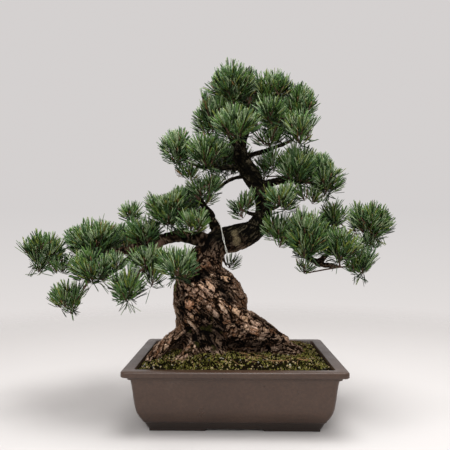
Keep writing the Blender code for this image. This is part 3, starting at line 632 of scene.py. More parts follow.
@dataclass
class Mass:
    """One mass of needles: first the sprays of its solid, and then finer shoots with tufts."""

    name: str
    skeleton: Skeleton
    grown: Bars
    seed: int = 7
    needle_reach: float = 0.030
    needle_spread: tuple = (0.86, 1.08)
    shortened: tuple = (1, 0.75, 0.5)
    lean_spread: float = 0.12
    rises: tuple = (math.radians(56), math.radians(10), math.radians(-14))
    turns: tuple = (0.5, 0.5, 0)
    fewest_needles: int = 3
    tries: int = 4
    nudge: float = 0.004
    stem_run: float = 0.014
    twig_thick: float = 0.0036
    twig_bend_at: float = 0.55
    twig_sag: float = 0.10
    detour_cost: float = 0.35
    up_pull: float = 0.5
    site_depth: float = 0.70
    site_spread: float = 0.2
    lowest_share: float = 1.50
    spike_half_width: float = 0.0022
    space_limit: float = 1.15
    shoots_per_spray: float = 5.6
    shoot_under: tuple = (0.011, 0.024)
    shoot_headroom: float = 0.017
    tuft_pulls: tuple = (0.25, 0.60, 1.20)
    heel_run: float = 0.015
    spray_stout: float = 0.0018
    shoot_stout: float = 0.0011
    stouter: float = 0.014
    shoot_half: float = 0.002
    shoot_apart: float = 0.0140
    shoot_longest: float = 0.050
    shoot_lowest: float = 1.96
    bare_share: float = 0.45
    bare_trunk: float = 0.86
    limb_joints: int = 25
    sky_slack: float = 1.15
    sprays: list = field(default_factory=list)
    stalks: list = field(default_factory=list)
    tufts: list = field(default_factory=list)

    def __post_init__(self) -> None:
        """Grows the sprays, each on its twig, and adds them to what has grown."""
        self.rng = random.Random(f"{OTHER_SEEDS.get(self.name, self.seed)} {self.name}")
        tip, onward = self.skeleton.limb_end(self.name)
        self.stem_end = tip + onward * self.stem_run
        self.own = Bars()
        joints = [(self.stem_end, 0.0)]
        for pad in PADS[self.name]:
            for site in sorted(self.sites(pad), key=lambda place: (place - self.stem_end).length):
                spray = self.spray_near(site, pad, joints)
                if not spray:
                    continue
                self.sprays.append(spray)
                joints.append((spray.middle, spray.run + (spray.middle - spray.start).length))
                joints.append((spray.centre, spray.run + (spray.centre - spray.start).length))
                self.own.add(spray.start, spray.middle, self.twig_thick / 2)
                self.own.add(spray.middle, spray.centre, self.twig_thick / 2)
                for reached in filter(None, spray.tips):
                    self.own.add(spray.centre, reached, self.spike_half_width)
        self.grown.add(self.own.starts, self.own.ends, self.own.radii)

    def in_space(self, point: Vector, more: tuple = ()) -> bool:
        """Whether a point lies in this mass's pads, or these, and no nearer to another mass's."""
        own = min(nearness(point, pad) for pad in PADS[self.name] + more)
        others = (nearness(point, pad) for key in PADS if key != self.name for pad in PADS[key])
        return own < self.space_limit and own < min(others)

    def sites(self, pad: Pad) -> list[Vector]:
        """Centres of the pad's sprays, spread over its inner shell by the golden angle."""
        reach = [max(0.006, half - self.site_depth * self.needle_reach) for half in pad[3:6]]
        turned = self.rng.uniform(0, 2 * math.pi)
        found = []
        for k in range(pad.sprays):
            astray = self.rng.uniform(-self.site_spread, self.site_spread)
            angle = turned + GOLDEN_ANGLE * k + astray
            way = ball_way(k, pad.sprays, self.lowest_share, angle)
            found.append(pad.centre + Vector(a * b for a, b in zip(way, reach)))
        return found

    def bend(self, start: Vector, end: Vector) -> Vector:
        """The place where a twig bends, as it sags a little."""
        span = end - start
        return start + span * self.twig_bend_at - UP * self.twig_sag * span.length

    def spike_tip(self, centre: Vector, way: Vector) -> Vector | None:
        """The tip of a spike, shorter or None where it would leave or touch."""
        length = self.needle_reach * self.rng.uniform(*self.needle_spread)
        for share in self.shortened:
            reached = centre + way * length * share
            clear = self.grown.clear(centre, reached, self.spike_half_width)
            clear = clear and self.own.clear(centre, reached, self.spike_half_width)
            if clear and self.in_space(reached):
                return reached
        return None

    def spray_tips(self, centre: Vector, axis: Vector) -> list[Vector | None]:
        """The tips of a spray's spikes, in three whorls of three."""
        side, depth = frames_along([Vector(), axis])[0]
        ways = []
        for rise, turn in zip(self.rises, self.turns):
            for k in range(3):
                angle = 2 * math.pi * (k + turn) / 3
                lean = rise + self.rng.uniform(-self.lean_spread, self.lean_spread)
                way = side * math.cos(angle) + depth * math.sin(angle)
                ways.append(way * math.cos(lean) + axis * math.sin(lean))
        return [self.spike_tip(centre, way) for way in ways]

    def spray_at(self, site: Vector, pad: Pad, joints: list[tuple]) -> Spray | None:
        """A spray that reaches a site from the best joint, if it fits.

        Args:
            site: Where the spray's centre goes.
            pad: The cushion that it is in.
            joints: Places that a twig may leave from, each with the run that leads there.

        Returns:
            The spray, or None where it would leave the mass's space or touch.
        """
        cost = self.detour_cost
        start, run = min(joints, key=lambda joint: (joint[0] - site).length + cost * joint[1])
        middle = self.bend(start, site)
        half = self.twig_thick / 2
        clear = self.grown.clear(start, middle, half) and self.grown.clear(middle, site, half)
        clear = clear and self.own.clear(middle, site, half)
        if not clear or not self.in_space(site):
            return None
        outward = (site - pad.centre).normalized()
        axis = (outward + (site - middle).normalized() + UP * self.up_pull).normalized()
        tips = self.spray_tips(site, axis)
        if sum(tip is not None for tip in tips) < self.fewest_needles:
            return None
        return Spray(start, middle, site, axis, tips, pad, run)

    def spray_near(self, site: Vector, pad: Pad, joints: list[tuple]) -> Spray | None:
        """The first spray that fits at a site, which is nudged further off at each try."""
        for attempt in range(self.tries):
            shift = (self.rng.uniform(-self.nudge, self.nudge) * attempt for _ in range(3))
            spray = self.spray_at(site + Vector(shift), pad, joints)
            if spray:
                return spray
        return None

    def shoot_sites(self, pad: Pad) -> list[Vector]:
        """Places for finer shoots, all over the pad's inner shell and just under it."""
        count = round(pad.sprays * self.shoots_per_spray)
        turned = self.rng.uniform(0, 2 * math.pi)
        found = []
        for k in range(count):
            under = self.rng.uniform(*self.shoot_under)
            way = ball_way(k, count, self.shoot_lowest, turned + GOLDEN_ANGLE * k)
            reach = [max(0.004, half - under) for half in pad[3:6]]
            reach[2] -= self.shoot_headroom * max(0.0, way[2])
            found.append(pad.centre + Vector(a * b for a, b in zip(way, reach)))
        self.rng.shuffle(found)
        return found

    def grow_shoots(self, limbs: Bars) -> None:
        """Adds the tufts: one at each twig's end, and more on finer shoots.

        Args:
            limbs: The wood that the shoots keep clear of.
        """
        self.rng = random.Random(f"shoots {self.name}")
        feet = []
        line = sampled(self.skeleton.lines[self.name], self.limb_joints)
        bare = self.bare_share if self.name in BOUGHS else self.bare_trunk
        joints = [self.stem_end, *line[round(len(line) * bare) :]]
        for spray in self.sprays:
            if in_sky(np.array([spray.centre]), self.sky_slack)[0]:
                continue
            feet.append(spray.centre)
            heel = self.add_tuft(spray.centre, spray.axis, spray.pad)
            joints += [spray.middle, heel]
            self.stalks.append(((spray.start, spray.middle, heel, spray.centre), self.spray_stout))
        more = FILLERS.get(self.name, ())
        for pad in PADS[self.name] + more:
            for site in self.shoot_sites(pad):
                root = min(joints, key=lambda joint: (joint - site).length)
                span = site - root
                crowded = feet and min((site - foot).length for foot in feet) < self.shoot_apart
                if crowded or span.length > self.shoot_longest:
                    continue
                middle = self.bend(root, site)
                inside = self.in_space(site, more)
                inside = inside and not in_sky(np.array([site]), self.sky_slack)[0]
                if not inside or not limbs.clear(middle, site, self.shoot_half):
                    continue
                feet.append(site)
                heel = self.add_tuft(site, span.normalized(), pad)
                joints += [middle, heel]
                stout = self.shoot_stout + self.stouter * span.length
                self.stalks.append(((root, middle, heel, site), stout))

    def add_tuft(self, tip: Vector, way: Vector, pad: Pad) -> Vector:
        """Adds a tuft that turns up and outward.

        Args:
            tip: The end of its shoot.
            way: The direction that the shoot comes in.
            pad: Its cushion.

        Returns:
            Its heel, where the shoot turns up and the lowest needles grow.
        """
        outward = (tip - pad.centre).normalized()
        onward, aside, upward = self.tuft_pulls
        axis = (way * onward + outward * aside + UP * upward).normalized()
        heel = tip - axis * self.heel_run
        self.tufts.append(Tuft(heel, tip, axis, (tip.z - pad.z) / pad.half_height))
        return heel


def grown_masses(skeleton: Skeleton) -> dict[str, Mass]:
    """Every mass, grown in the solids' order so that the same seeds give the same sprays."""
    bars = skeleton.bars()
    masses = {name: Mass(name, skeleton, bars) for name in PADS}
    limbs = skeleton.bars()
    for mass in masses.values():
        mass.grow_shoots(limbs)
    return masses


# Meshes


def copies(points: np.ndarray, faces: Sequence[Sequence], slots: np.ndarray) -> bpy.types.Mesh:
    """One mesh of many small things that have the same faces.

    Args:
        points: For each thing, its points as rows of x, y and z.
        faces: For each face, the numbers of the points at its corners.
        slots: For each thing, the material of each face.

    Returns:
        The mesh.
    """
    things, each = points.shape[:2]
    sizes = np.tile([len(face) for face in faces], things)
    corners = (np.concatenate(faces) + np.arange(things)[:, None] * each).ravel()
    mesh = bpy.data.meshes.new("copies")
    mesh.vertices.add(things * each)
    mesh.vertices.foreach_set("co", points.astype(np.float32).ravel())
    mesh.loops.add(len(corners))
    mesh.loops.foreach_set("vertex_index", corners.astype(np.int32))
    mesh.polygons.add(len(sizes))
    mesh.polygons.foreach_set("loop_start", np.r_[0, np.cumsum(sizes)[:-1]].astype(np.int32))
    mesh.polygons.foreach_set("material_index", slots.astype(np.int32).ravel())
    mesh.update(calc_edges=True)
    return mesh


def scattered(
    bm: bmesh.types.BMesh, turns: np.ndarray, places: np.ndarray, slots: np.ndarray
) -> bpy.types.Mesh:
    """Joins turned and placed copies of a small shape.

    Args:
        bm: The shape, which is freed.
        turns: A 3 by 3 matrix for each copy, with its scale.
        places: Where each copy's origin goes.
        slots: Each copy's material.

    Returns:
        The mesh.
    """
    bm.verts.index_update()
    shape = np.array([vert.co[:] for vert in bm.verts])
    faces = [[vert.index for vert in face.verts] for face in bm.faces]
    bm.free()
    points = np.einsum("nij,pj->npi", turns, shape) + places[:, None]
    return copies(points, faces, np.repeat(slots[:, None], len(faces), axis=1))


def random_turns(rng: np.random.Generator, scales: np.ndarray, tilt: float) -> np.ndarray:
    """Matrices that turn each copy about Z, tilt it at random and scale it.

    Args:
        rng: The random numbers.
        scales: Rows of three scales.
        tilt: The most that a copy tilts, in radians.

    Returns:
        A 3 by 3 matrix for each row.
    """
    found = []
    for row in scales:
        spin = Matrix.Rotation(rng.uniform(0, 2 * math.pi), 3, "Z")
        lean = Matrix.Rotation(rng.uniform(-tilt, tilt), 3, "X")
        roll = Matrix.Rotation(rng.uniform(-tilt, tilt), 3, "Y")
        found.append(np.array(spin @ lean @ roll) * row[None])
    return np.array(found)


def extruded(bm: bmesh.types.BMesh, face: bmesh.types.BMFace, keep: bool) -> tuple:
    """Extrudes one face, and takes the old one away so that no wall is left inside.

    Args:
        bm: The bmesh.
        face: The face.
        keep: Whether the old face stays, as the closed end of the shape.

    Returns:
        The new face and its points.
    """
    made = bmesh.ops.extrude_face_region(bm, geom=[face], use_keep_orig=True)["geom"]
    if not keep:
        bmesh.ops.delete(bm, geom=[face], context="FACES_ONLY")
    new = next(item for item in made if isinstance(item, bmesh.types.BMFace))
    return new, [item for item in made if isinstance(item, bmesh.types.BMVert)]


def sweep(
    bm: bmesh.types.BMesh, points: Sequence[Vector], halves: Sequence[tuple], sides: int
) -> list[list]:
    """Extrudes a closed tube along a line, ring by ring.

    Args:
        bm: The bmesh that gets the tube.
        points: The line.
        halves: The half width and half depth of each ring.
        sides: The points in a ring.

    Returns:
        The rings of points.
    """
    places = []
    for point, (side, depth), (half_width, half_depth) in zip(points, frames_along(points), halves):
        ahead = side.cross(depth)
        place = Matrix((side * half_width, depth * half_depth, ahead)).transposed().to_4x4()
        place.translation = point
        places.append(place)
    ring = bmesh.ops.create_circle(bm, cap_ends=True, radius=1, segments=sides)["verts"]
    bmesh.ops.transform(bm, matrix=places[0], verts=ring)
    rings = [ring]
    face = ring[0].link_faces[0]
    for before, after in zip(places, places[1:]):
        face, ring = extruded(bm, face, keep=len(rings) == 1)
        bmesh.ops.transform(bm, matrix=after @ before.inverted(), verts=ring)
        rings.append(ring)
    return rings


def from_bmesh(bm: bmesh.types.BMesh) -> bpy.types.Mesh:
    """A mesh with its faces turned outward. The bmesh is freed."""
    bmesh.ops.recalc_face_normals(bm, faces=bm.faces)
    mesh = bpy.data.meshes.new("skin")
    bm.to_mesh(mesh)
    bm.free()
    return mesh


def placed(name: str, data: bpy.types.ID) -> bpy.types.Object:
    """A new object in the scene, at the origin."""
    made = bpy.data.objects.new(name, data)
    bpy.context.scene.collection.objects.link(made)
    return made


def applied(helper: bpy.types.Object) -> bpy.types.Mesh:
    """The mesh that a helper shows with its modifiers. The helper is removed."""
    bpy.context.view_layer.update()
    graph = bpy.context.evaluated_depsgraph_get()
    made = bpy.data.meshes.new_from_object(helper.evaluated_get(graph))
    bpy.data.batch_remove([helper, helper.data])
    return made


def tubes(lines: Sequence[tuple], resolution: int) -> bpy.types.Mesh:
    """Round tubes with closed ends along many lines, as one mesh.

    Args:
        lines: For each tube its points and its radii.
        resolution: The curve's bevel resolution, 1 for six sides.

    Returns:
        The mesh.
    """
    curve = bpy.data.curves.new("tubes", "CURVE")
    curve.dimensions = "3D"
    curve.bevel_depth = 1
    curve.bevel_resolution = resolution
    curve.use_fill_caps = True
    for points, radii in lines:
        spline = curve.splines.new("POLY")
        spline.points.add(len(points) - 1)
        for place, point, radius in zip(spline.points, points, radii):
            place.co = (*point, 1)
            place.radius = radius
    return applied(placed("tubes", curve))


def finished(
    name: str,
    mesh: bpy.types.Mesh,
    finishes: Sequence[Finish],
    slot: str,
    nodes: Sequence[str] = (),
) -> bpy.types.Object:
    """Puts a mesh in the scene, smooth and dressed, as a piece that rides on the tree.

    Args:
        name: The piece's name.
        mesh: Its mesh.
        finishes: Its finishes, in the order of its faces' slots.
        slot: The record's slot that its finish comes from.
        nodes: The solids that it stands for.

    Returns:
        The piece.
    """
    mesh.name = name
    mesh.polygons.foreach_set("use_smooth", np.ones(len(mesh.polygons), bool))
    for finish in finishes:
        mesh.materials.append(finish.material())
    piece = placed(name, mesh)
    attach(piece, "root")
    if nodes:
        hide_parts(*nodes)
    triangles = sum(len(polygon.vertices) - 2 for polygon in mesh.polygons)
    log.info("%s: %d triangles, %s", name, triangles, slot)
    return piece


# Finishes


class Recipe:
    """A node tree, with short calls that add its nodes and join them."""

    def __init__(self, tree: bpy.types.NodeTree, place: str = "Object") -> None:
        """Starts from a tree, and the coordinates that its patterns follow."""
        self.tree = tree
        self.place = self.node("TexCoord").outputs[place]

    @property
    def shader(self) -> bpy.types.Node:
        """The surface's own shader."""
        return self.tree.nodes["Principled BSDF"]

    def put(self, source: Source, target: bpy.types.NodeSocket) -> None:
        """Feeds an input from a socket, or sets it to a value."""
        if isinstance(source, bpy.types.NodeSocket):
            self.tree.links.new(source, target)
        else:
            target.default_value = (*source, 1) if target.type == "RGBA" else source

    def node(self, kind: str, **sources: Source) -> bpy.types.Node:
        """Adds a node.

        Args:
            kind: Blender's name for its kind.
            sources: What goes into its inputs, by their names with _ for a blank.

        Returns:
            The node.
        """
        made = self.tree.nodes.new("ShaderNode" + kind)
        for name, source in sources.items():
            self.put(source, made.inputs[name.replace("_", " ")])
        return made

    def stretched(self, scale: tuple) -> bpy.types.NodeSocket:
        """The coordinates, scaled along their axes."""
        return self.node("Mapping", Vector=self.place, Scale=scale).outputs["Vector"]

    def noise(
        self, scale: float, detail: float = 3.0, rough: float = 0.55, place: Source | None = None
    ) -> bpy.types.NodeSocket:
        """Soft noise, whose scale is in waves per metre."""
        place = place or self.place
        made = self.node("TexNoise", Vector=place, Scale=scale, Detail=detail, Roughness=rough)
        return made.outputs["Fac"]

    def cells(self, scale: float) -> bpy.types.NodeSocket:
        """Grains: how far each point is from the middle of its grain."""
        return self.node("TexVoronoi", Vector=self.place, Scale=scale).outputs["Distance"]

    def attribute(self, name: str) -> bpy.types.NodeSocket:
        """A number that the mesh keeps for each point."""
        node = self.node("Attribute")
        node.attribute_name = name
        return node.outputs["Fac"]

    def ramp(self, factor: Source, stops: Sequence[tuple]) -> bpy.types.NodeSocket:
        """Colours or greys along a factor.

        Args:
            factor: What is looked up.
            stops: Pairs of a position and a colour, or a grey as one number.

        Returns:
            The colour.
        """
        node = self.node("ValToRGB", Fac=factor)
        marks = node.color_ramp.elements
        while len(marks) < len(stops):
            marks.new(0.5)
        for mark, (position, colour) in zip(marks, stops):
            mark.position = position
            grey = isinstance(colour, (int, float))
            mark.color = (colour, colour, colour, 1) if grey else (*colour, 1)
        return node.outputs["Color"]

    def mix(
        self, factor: Source, first: Source, second: Source, blend: str = "MIX"
    ) -> bpy.types.NodeSocket:
        """Mixes two colours.

        Args:
            factor: How much of the second.
            first: A socket or a colour.
            second: A socket or a colour.
            blend: Blender's name for the way.

        Returns:
            The colour.
        """
        node = self.node("Mix")
        node.data_type = "RGBA"
        node.blend_type = blend
        node.clamp_factor = True
        for source, number in ((factor, 0), (first, 6), (second, 7)):
            self.put(source, node.inputs[number])
        return node.outputs[2]

    def tinted(self, colour: Source, factor: Source) -> bpy.types.NodeSocket:
        """A colour times another."""
        return self.mix(1.0, colour, factor, "MULTIPLY")

    def sum(self, first: Source, second: Source, way: str = "ADD") -> bpy.types.NodeSocket:
        """One sum on two sockets or numbers."""
        node = self.node("Math")
        node.operation = way
        for source, socket in zip((first, second), node.inputs):
            self.put(source, socket)
        return node.outputs[0]

    def bump(self, height: Source, strength: float, depth: float) -> None:
        """Raises the surface by a height map, this deep in metres."""
        node = self.node("Bump", Strength=strength, Distance=depth, Height=height)
        self.put(node.outputs["Normal"], self.shader.inputs["Normal"])


class Finish:
    """The looks of a surface, which become one material for all the pieces that wear it."""

    name: str
    roughness: float
    specular: float

    def colour(self, paint: Recipe) -> bpy.types.NodeSocket:
        """Joins the finish's nodes and hands back its colour. Each finish has its own."""
        raise NotImplementedError

    @cache
    def material(self) -> bpy.types.Material:
        """The finish as a material."""
        material = bpy.data.materials.new(self.name)
        material.use_nodes = True
        paint = Recipe(material.node_tree)
        paint.shader.inputs["Roughness"].default_value = self.roughness
        paint.shader.inputs["Metallic"].default_value = 0.0
        paint.shader.inputs["Specular IOR Level"].default_value = self.specular
        paint.put(self.colour(paint), paint.shader.inputs["Base Color"])
        return material


@dataclass(frozen=True)
class ClayFinish(Finish):
    """Unglazed brown stoneware, finely grained, with faint wipe marks and pale scuffs."""

    name: str = "clay"
    roughness: float = 0.5
    specular: float = 0.45
    dark: Colour = (0.0455, 0.0240, 0.0150)
    light: Colour = (0.0620, 0.0338, 0.0218)
    dust: Colour = (0.160, 0.130, 0.108)
    per_metre: float = 10
    # Painted shade by height in tenths of a metre: darkest low on the wall and the feet, darker at
    # the step above the foot and on the rim's outer face.
    painted_shade: tuple = (
        (0.0, 0.30), (0.122, 0.34), (0.130, 0.36), (0.140, 0.60), (0.17, 0.80), (0.34, 1.0),
        (0.935, 1.04), (0.950, 0.92), (0.995, 0.94),
    )

    def colour(self, paint: Recipe) -> bpy.types.NodeSocket:
        """Clouds and wipe marks under a fine grain, darkened near the floor and on the rim's face
        as painted shade.
        """
        clouds = paint.ramp(paint.noise(9, 5), [(0.35, self.dark), (0.7, self.light)])
        wiped = paint.noise(40, 3, place=paint.stretched((0.12, 0.12, 1)))
        colour = paint.mix(paint.ramp(wiped, [(0.45, 0.0), (0.8, 0.35)]), clouds, self.light)
        grain = paint.noise(1400, 3, 0.7)
        speck = paint.ramp(grain, [(0.3, 0.55), (0.45, 1.0), (0.62, 1.0), (0.75, 1.35)])
        colour = paint.tinted(colour, speck)
        scuff = paint.ramp(paint.noise(16, 6, 0.7), [(0.64, 0.0), (0.78, 0.3)])
        colour = paint.mix(scuff, colour, self.dust)
        shine = paint.ramp(paint.noise(28, 4), [(0.3, 0.27), (0.7, 0.38)])
        paint.put(shine, paint.shader.inputs["Roughness"])
        patchy = paint.ramp(paint.noise(210, 4, 0.75), [(0.32, 0.78), (0.50, 1.0), (0.68, 1.26)])
        colour = paint.tinted(colour, patchy)
        height = paint.node("SeparateXYZ", Vector=paint.place).outputs["Z"]
        level = paint.sum(height, self.per_metre, "MULTIPLY")
        paint.bump(paint.sum(grain, paint.noise(90, 2)), 0.25, 0.0006)
        return paint.tinted(colour, paint.ramp(level, self.painted_shade))


@dataclass(frozen=True)
class BarkFinish(Finish):
    """Plated pine bark below and smooth dark bark above, from what the mesh keeps."""

    name: str = "bark"
    roughness: float = 0.9
    specular: float = 0.06
    fissure: Colour = (0.0030, 0.0011, 0.0003)
    deep: Colour = (0.020, 0.010, 0.004)
    plate: Colour = (0.095, 0.054, 0.033)
    worn: Colour = (0.270, 0.176, 0.120)
    crest: Colour = (0.520, 0.385, 0.295)
    russet: Colour = (0.200, 0.085, 0.038)
    grey: Colour = (0.230, 0.160, 0.122)
    ochre: Colour = (0.310, 0.200, 0.115)
    young: Colour = (0.0012, 0.0009, 0.0004)
    young_mid: Colour = (0.008, 0.0065, 0.0025)
    young_light: Colour = (0.078, 0.064, 0.041)
    moss_dark: Colour = (0.006, 0.009, 0.002)
    moss: Colour = (0.062, 0.054, 0.012)
    scar: Colour = (0.150, 0.120, 0.066)

    def colour(self, paint: Recipe) -> bpy.types.NodeSocket:
        """Old bark over young by age, then the folds' paler bark and painted shade, specks, moss
        and scars.
        """
        fine = paint.noise(430, 5, 0.7)
        grit = paint.noise(1300, 3, 0.7)
        age = paint.attribute("age")
        pale = paint.attribute("pale")
        # Darker down in the fissures and lighter up on the plates and crests, with the fissures
        # pushed almost to black as painted shade.
        flaked = paint.sum(paint.sum(fine, -0.5), 0.55, "MULTIPLY")
        flaked = paint.sum(paint.attribute("relief"), flaked)
        flaked = paint.sum(flaked, paint.sum(pale, 0.16, "MULTIPLY"))
        stops = (0.10, self.fissure), (0.24, self.deep), (0.42, self.plate), (0.62, self.worn)
        old = paint.ramp(flaked, [*stops, (0.92, self.crest)])
        hues = [(0.15, self.russet), (0.40, self.plate), (0.62, self.grey), (0.85, self.ochre)]
        tone = paint.sum(paint.attribute("tone"), paint.sum(paint.noise(70, 4), -0.5))
        hued = paint.ramp(flaked, [(0.25, 0.0), (0.50, 0.60), (0.90, 0.15)])
        old = paint.mix(hued, old, paint.ramp(tone, hues))
        stops = [(0.22, self.young), (0.50, self.young_mid), (0.90, self.young_light)]
        colour = paint.mix(age, paint.ramp(flaked, stops), old)
        # Paleness below zero darkens almost to black, as painted shade in creases and the hollow;
        # above zero it lightens pale plates and, as painted highlight, ridges and root tops.
        paler = paint.sum(paint.sum(pale, 0.5, "MULTIPLY"), 0.5)
        colour = paint.tinted(colour, paint.ramp(paler, [(0.0, 0.06), (0.5, 0.90), (1.0, 2.2)]))
        colour = paint.tinted(colour, paint.ramp(grit, [(0.30, 0.40), (0.50, 1.0), (0.70, 1.7)]))
        mottle = paint.ramp(paint.noise(260, 4, 0.8), [(0.36, 0.35), (0.50, 1.0), (0.64, 1.75)])
        colour = paint.mix(age, colour, paint.tinted(colour, mottle))
        fuzz = paint.sum(paint.attribute("moss"), paint.noise(280, 5, 0.75), "MULTIPLY")
        green = paint.ramp(paint.noise(420, 4, 0.7), [(0.38, self.moss_dark), (0.7, self.moss)])
        colour = paint.mix(paint.ramp(fuzz, [(0.22, 0.0), (0.46, 0.70)]), colour, green)
        scar = paint.tinted(self.scar, paint.ramp(fine, [(0.3, 0.4), (0.7, 1.2)]))
        edge = paint.ramp(fine, [(0.3, 0.3), (0.6, 1.0)])
        torn = paint.sum(paint.attribute("scar"), edge, "MULTIPLY")
        paint.bump(paint.sum(fine, paint.sum(grit, 0.5, "MULTIPLY")), 0.9, 0.0016)
        return paint.mix(torn, colour, scar)


@dataclass(frozen=True)
class GrainFinish(Finish):
    """Grains, moss or litter of one tint, flecked from its shade to its light."""

    name: str
    shade: Colour
    light: Colour
    roughness: float = 0.9
    specular: float = 0.05
    flecks: tuple = (650, 4, 0.7)
    stops: tuple = (0.3, 0.7)
    raised: tuple = (0.5, 0.0004)

    def colour(self, paint: Recipe) -> bpy.types.NodeSocket:
        """Flecks between two colours, which may also be raised."""
        fleck = paint.noise(*self.flecks)
        if self.raised:
            paint.bump(fleck, *self.raised)
        return paint.ramp(fleck, list(zip(self.stops, (self.shade, self.light))))


@dataclass(frozen=True)
class TwigFinish(GrainFinish):
    """Thin bark of young twigs, reddish brown with pale leaf scars."""

    name: str = "twig bark"
    shade: Colour = (0.014, 0.008, 0.005)
    light: Colour = (0.150, 0.088, 0.060)
    roughness: float = 0.8
    specular: float = 0.15
    flecks: tuple = (420, 4, 0.7)
    raised: tuple = (0.6, 0.0006)


@dataclass(frozen=True)
class NeedleFinish(GrainFinish):
    """Smooth waxy needles of one tint."""

    roughness: float = 0.42
    specular: float = 0.18
    flecks: tuple = (230, 2)
    stops: tuple = (0.32, 0.68)
    raised: tuple = ()


@dataclass(frozen=True)
class SoilFinish(Finish):
    """Damp fine soil with thin moss on it."""

    name: str = "soil"
    roughness: float = 0.95
    specular: float = 0.03
    damp: Colour = (0.0012, 0.0007, 0.0002)
    dry: Colour = (0.014, 0.009, 0.003)
    moss: Colour = (0.011, 0.012, 0.0015)

    def colour(self, paint: Recipe) -> bpy.types.NodeSocket:
        """Crumbs with patches of moss, finely specked."""
        crumbs = paint.cells(360)
        colour = paint.ramp(crumbs, [(0.1, self.dry), (0.75, self.damp)])
        patch = paint.ramp(paint.noise(38, 5), [(0.42, 0.0), (0.6, 0.75)])
        colour = paint.mix(patch, colour, self.moss)
        paint.bump(paint.sum(crumbs, paint.noise(420, 4)), 0.9, 0.002)
        return paint.tinted(colour, paint.ramp(paint.noise(700, 3), [(0.3, 0.4), (0.7, 1.4)]))


@dataclass(frozen=True)
class FloorFinish(Finish):
    """The plain pale floor, which fades out into the backdrop far from the pot."""

    name: str = "floor"
    roughness: float = 0.6
    specular: float = 0.2
    tone: Colour = (0.575, 0.556, 0.544)
    fade_from: float = 0.75
    fade_to: float = 1.7

    def colour(self, paint: Recipe) -> bpy.types.NodeSocket:
        """One pale tone, see-through from the fade's start to its end."""
        away = paint.node("VectorMath", Vector=paint.place)
        away.operation = "LENGTH"
        fade = paint.node(
            "MapRange",
            Value=away.outputs["Value"],
            From_Min=self.fade_from,
            From_Max=self.fade_to,
            To_Min=1.0,
            To_Max=0.0,
        )
        fade.interpolation_type = "SMOOTHSTEP"
        paint.put(fade.outputs["Result"], paint.shader.inputs["Alpha"])
        return paint.tinted(self.tone, paint.ramp(paint.noise(3, 2), [(0.0, 0.985), (1.0, 1.0)]))


# Sub-assemblies


@dataclass
class Pot:
    """The rectangular pot: base, curved wall, flat rim with a soft edge, and four feet."""

    width: float = 0.370
    depth: float = 0.270
    corner: float = 0.006
    corner_steps: int = 8
    foot_height: float = 0.004
    foot_inset: float = 0.0415
    foot_width: float = 0.016
    foot_slope: float = 0.009
    gap_front: float = 0.100
    gap_side: float = 0.070
    foot_sink: float = 0.003
    soft_edge: float = 0.0007
    soft_from: float = math.radians(32)
    sharp_from: float = math.radians(60)
    profile: tuple = tuple(
        metres(row, TENTHS_PER_METRE)
        for row in (
            (395, 0), (334, 125), (316, 135), (300, 170), (275, 207), (255, 245), (237, 284),
            (220, 325), (203, 395), (190, 470), (177, 566), (166, 665), (154, 755), (141, 830),
            (130, 880), (112, 888), (90, 890), (90, 938), (20, 942), (6, 948), (0, 962), (0, 1018),
            (6, 1034), (20, 1040), (180, 1040), (194, 1034), (200, 1018), (215, 880), (260, 500),
            (340, 220), (400, 120),
        )
    )

    def wall(self, bm: bmesh.types.BMesh) -> None:
        """Raises the body from its base by extrusion: up the outside, over the rim and down."""
        inset, height = self.profile[0]
        made = bmesh.ops.create_grid(bm, x_segments=1, y_segments=1, size=0.5)["verts"]
        self.resize(bm, made, (1, 1), inset)
        rounded = bmesh.ops.bevel(
            bm, geom=made, affect="VERTICES", offset=self.corner, segments=self.corner_steps,
            profile=0.5, material=-1,
        )
        face = rounded["verts"][0].link_faces[0]
        bmesh.ops.translate(bm, verts=face.verts, vec=UP * height)
        for (before, low), (after, high) in zip(self.profile, self.profile[1:]):
            face, ring = extruded(bm, face, keep=low == 0)
            old = (self.width - 2 * before, self.depth - 2 * before)
            self.resize(bm, ring, old, after)
            bmesh.ops.translate(bm, verts=ring, vec=UP * (high - low))

    def resize(self, bm: bmesh.types.BMesh, verts: Sequence, old: tuple, inset: float) -> None:
        """Scales a flat outline from its old width and depth to the pot's, less an inset."""
        scale = ((self.width - 2 * inset) / old[0], (self.depth - 2 * inset) / old[1], 1)
        bmesh.ops.scale(bm, vec=scale, verts=list(verts))

    def foot(self, bm: bmesh.types.BMesh, side: int, front: int) -> None:
        """An L under one corner, whose free ends slope up into the base.

        Args:
            bm: The pot's bmesh.
            side: 1 for the right, -1 for the left.
            front: 1 for the back, -1 for the front.
        """
        x = side * (self.width / 2 - self.foot_inset)
        y = front * (self.depth / 2 - self.foot_inset)
        inner_x = x - side * self.foot_width
        inner_y = y - front * self.foot_width
        end_x = side * self.gap_front / 2
        end_y = front * self.gap_side / 2
        corners = (
            (x, y, 0, 0), (x, end_y, 0, -front), (inner_x, end_y, 0, -front),
            (inner_x, inner_y, 0, 0), (end_x, inner_y, -side, 0), (end_x, y, -side, 0),
        )
        low = [bm.verts.new((*corner[:2], -self.foot_height)) for corner in corners]
        for vert in extruded(bm, bm.faces.new(low), keep=True)[1]:
            near = min(corners, key=lambda row: math.hypot(row[0] - vert.co.x, row[1] - vert.co.y))
            slope = Vector((near[2], near[3], 0)) * self.foot_slope
            vert.co += slope + UP * (self.foot_height + self.foot_sink)

    def build(self) -> bpy.types.Object:
        """Builds and dresses the pot."""
        bm = bmesh.new()
        self.wall(bm)
        for side in (-1, 1):
            for front in (-1, 1):
                self.foot(bm, side, front)
        piece = finished("pot_shell", from_bmesh(bm), [ClayFinish()], "pot", ["pot"])
        soft = piece.modifiers.new("Soft edges", "BEVEL")
        soft.width = self.soft_edge
        soft.segments = 2
        soft.limit_method = "ANGLE"
        soft.angle_limit = self.soft_from
        soft.harden_normals = False
        piece.data.set_sharp_from_angle(angle=self.sharp_from)
        return piece


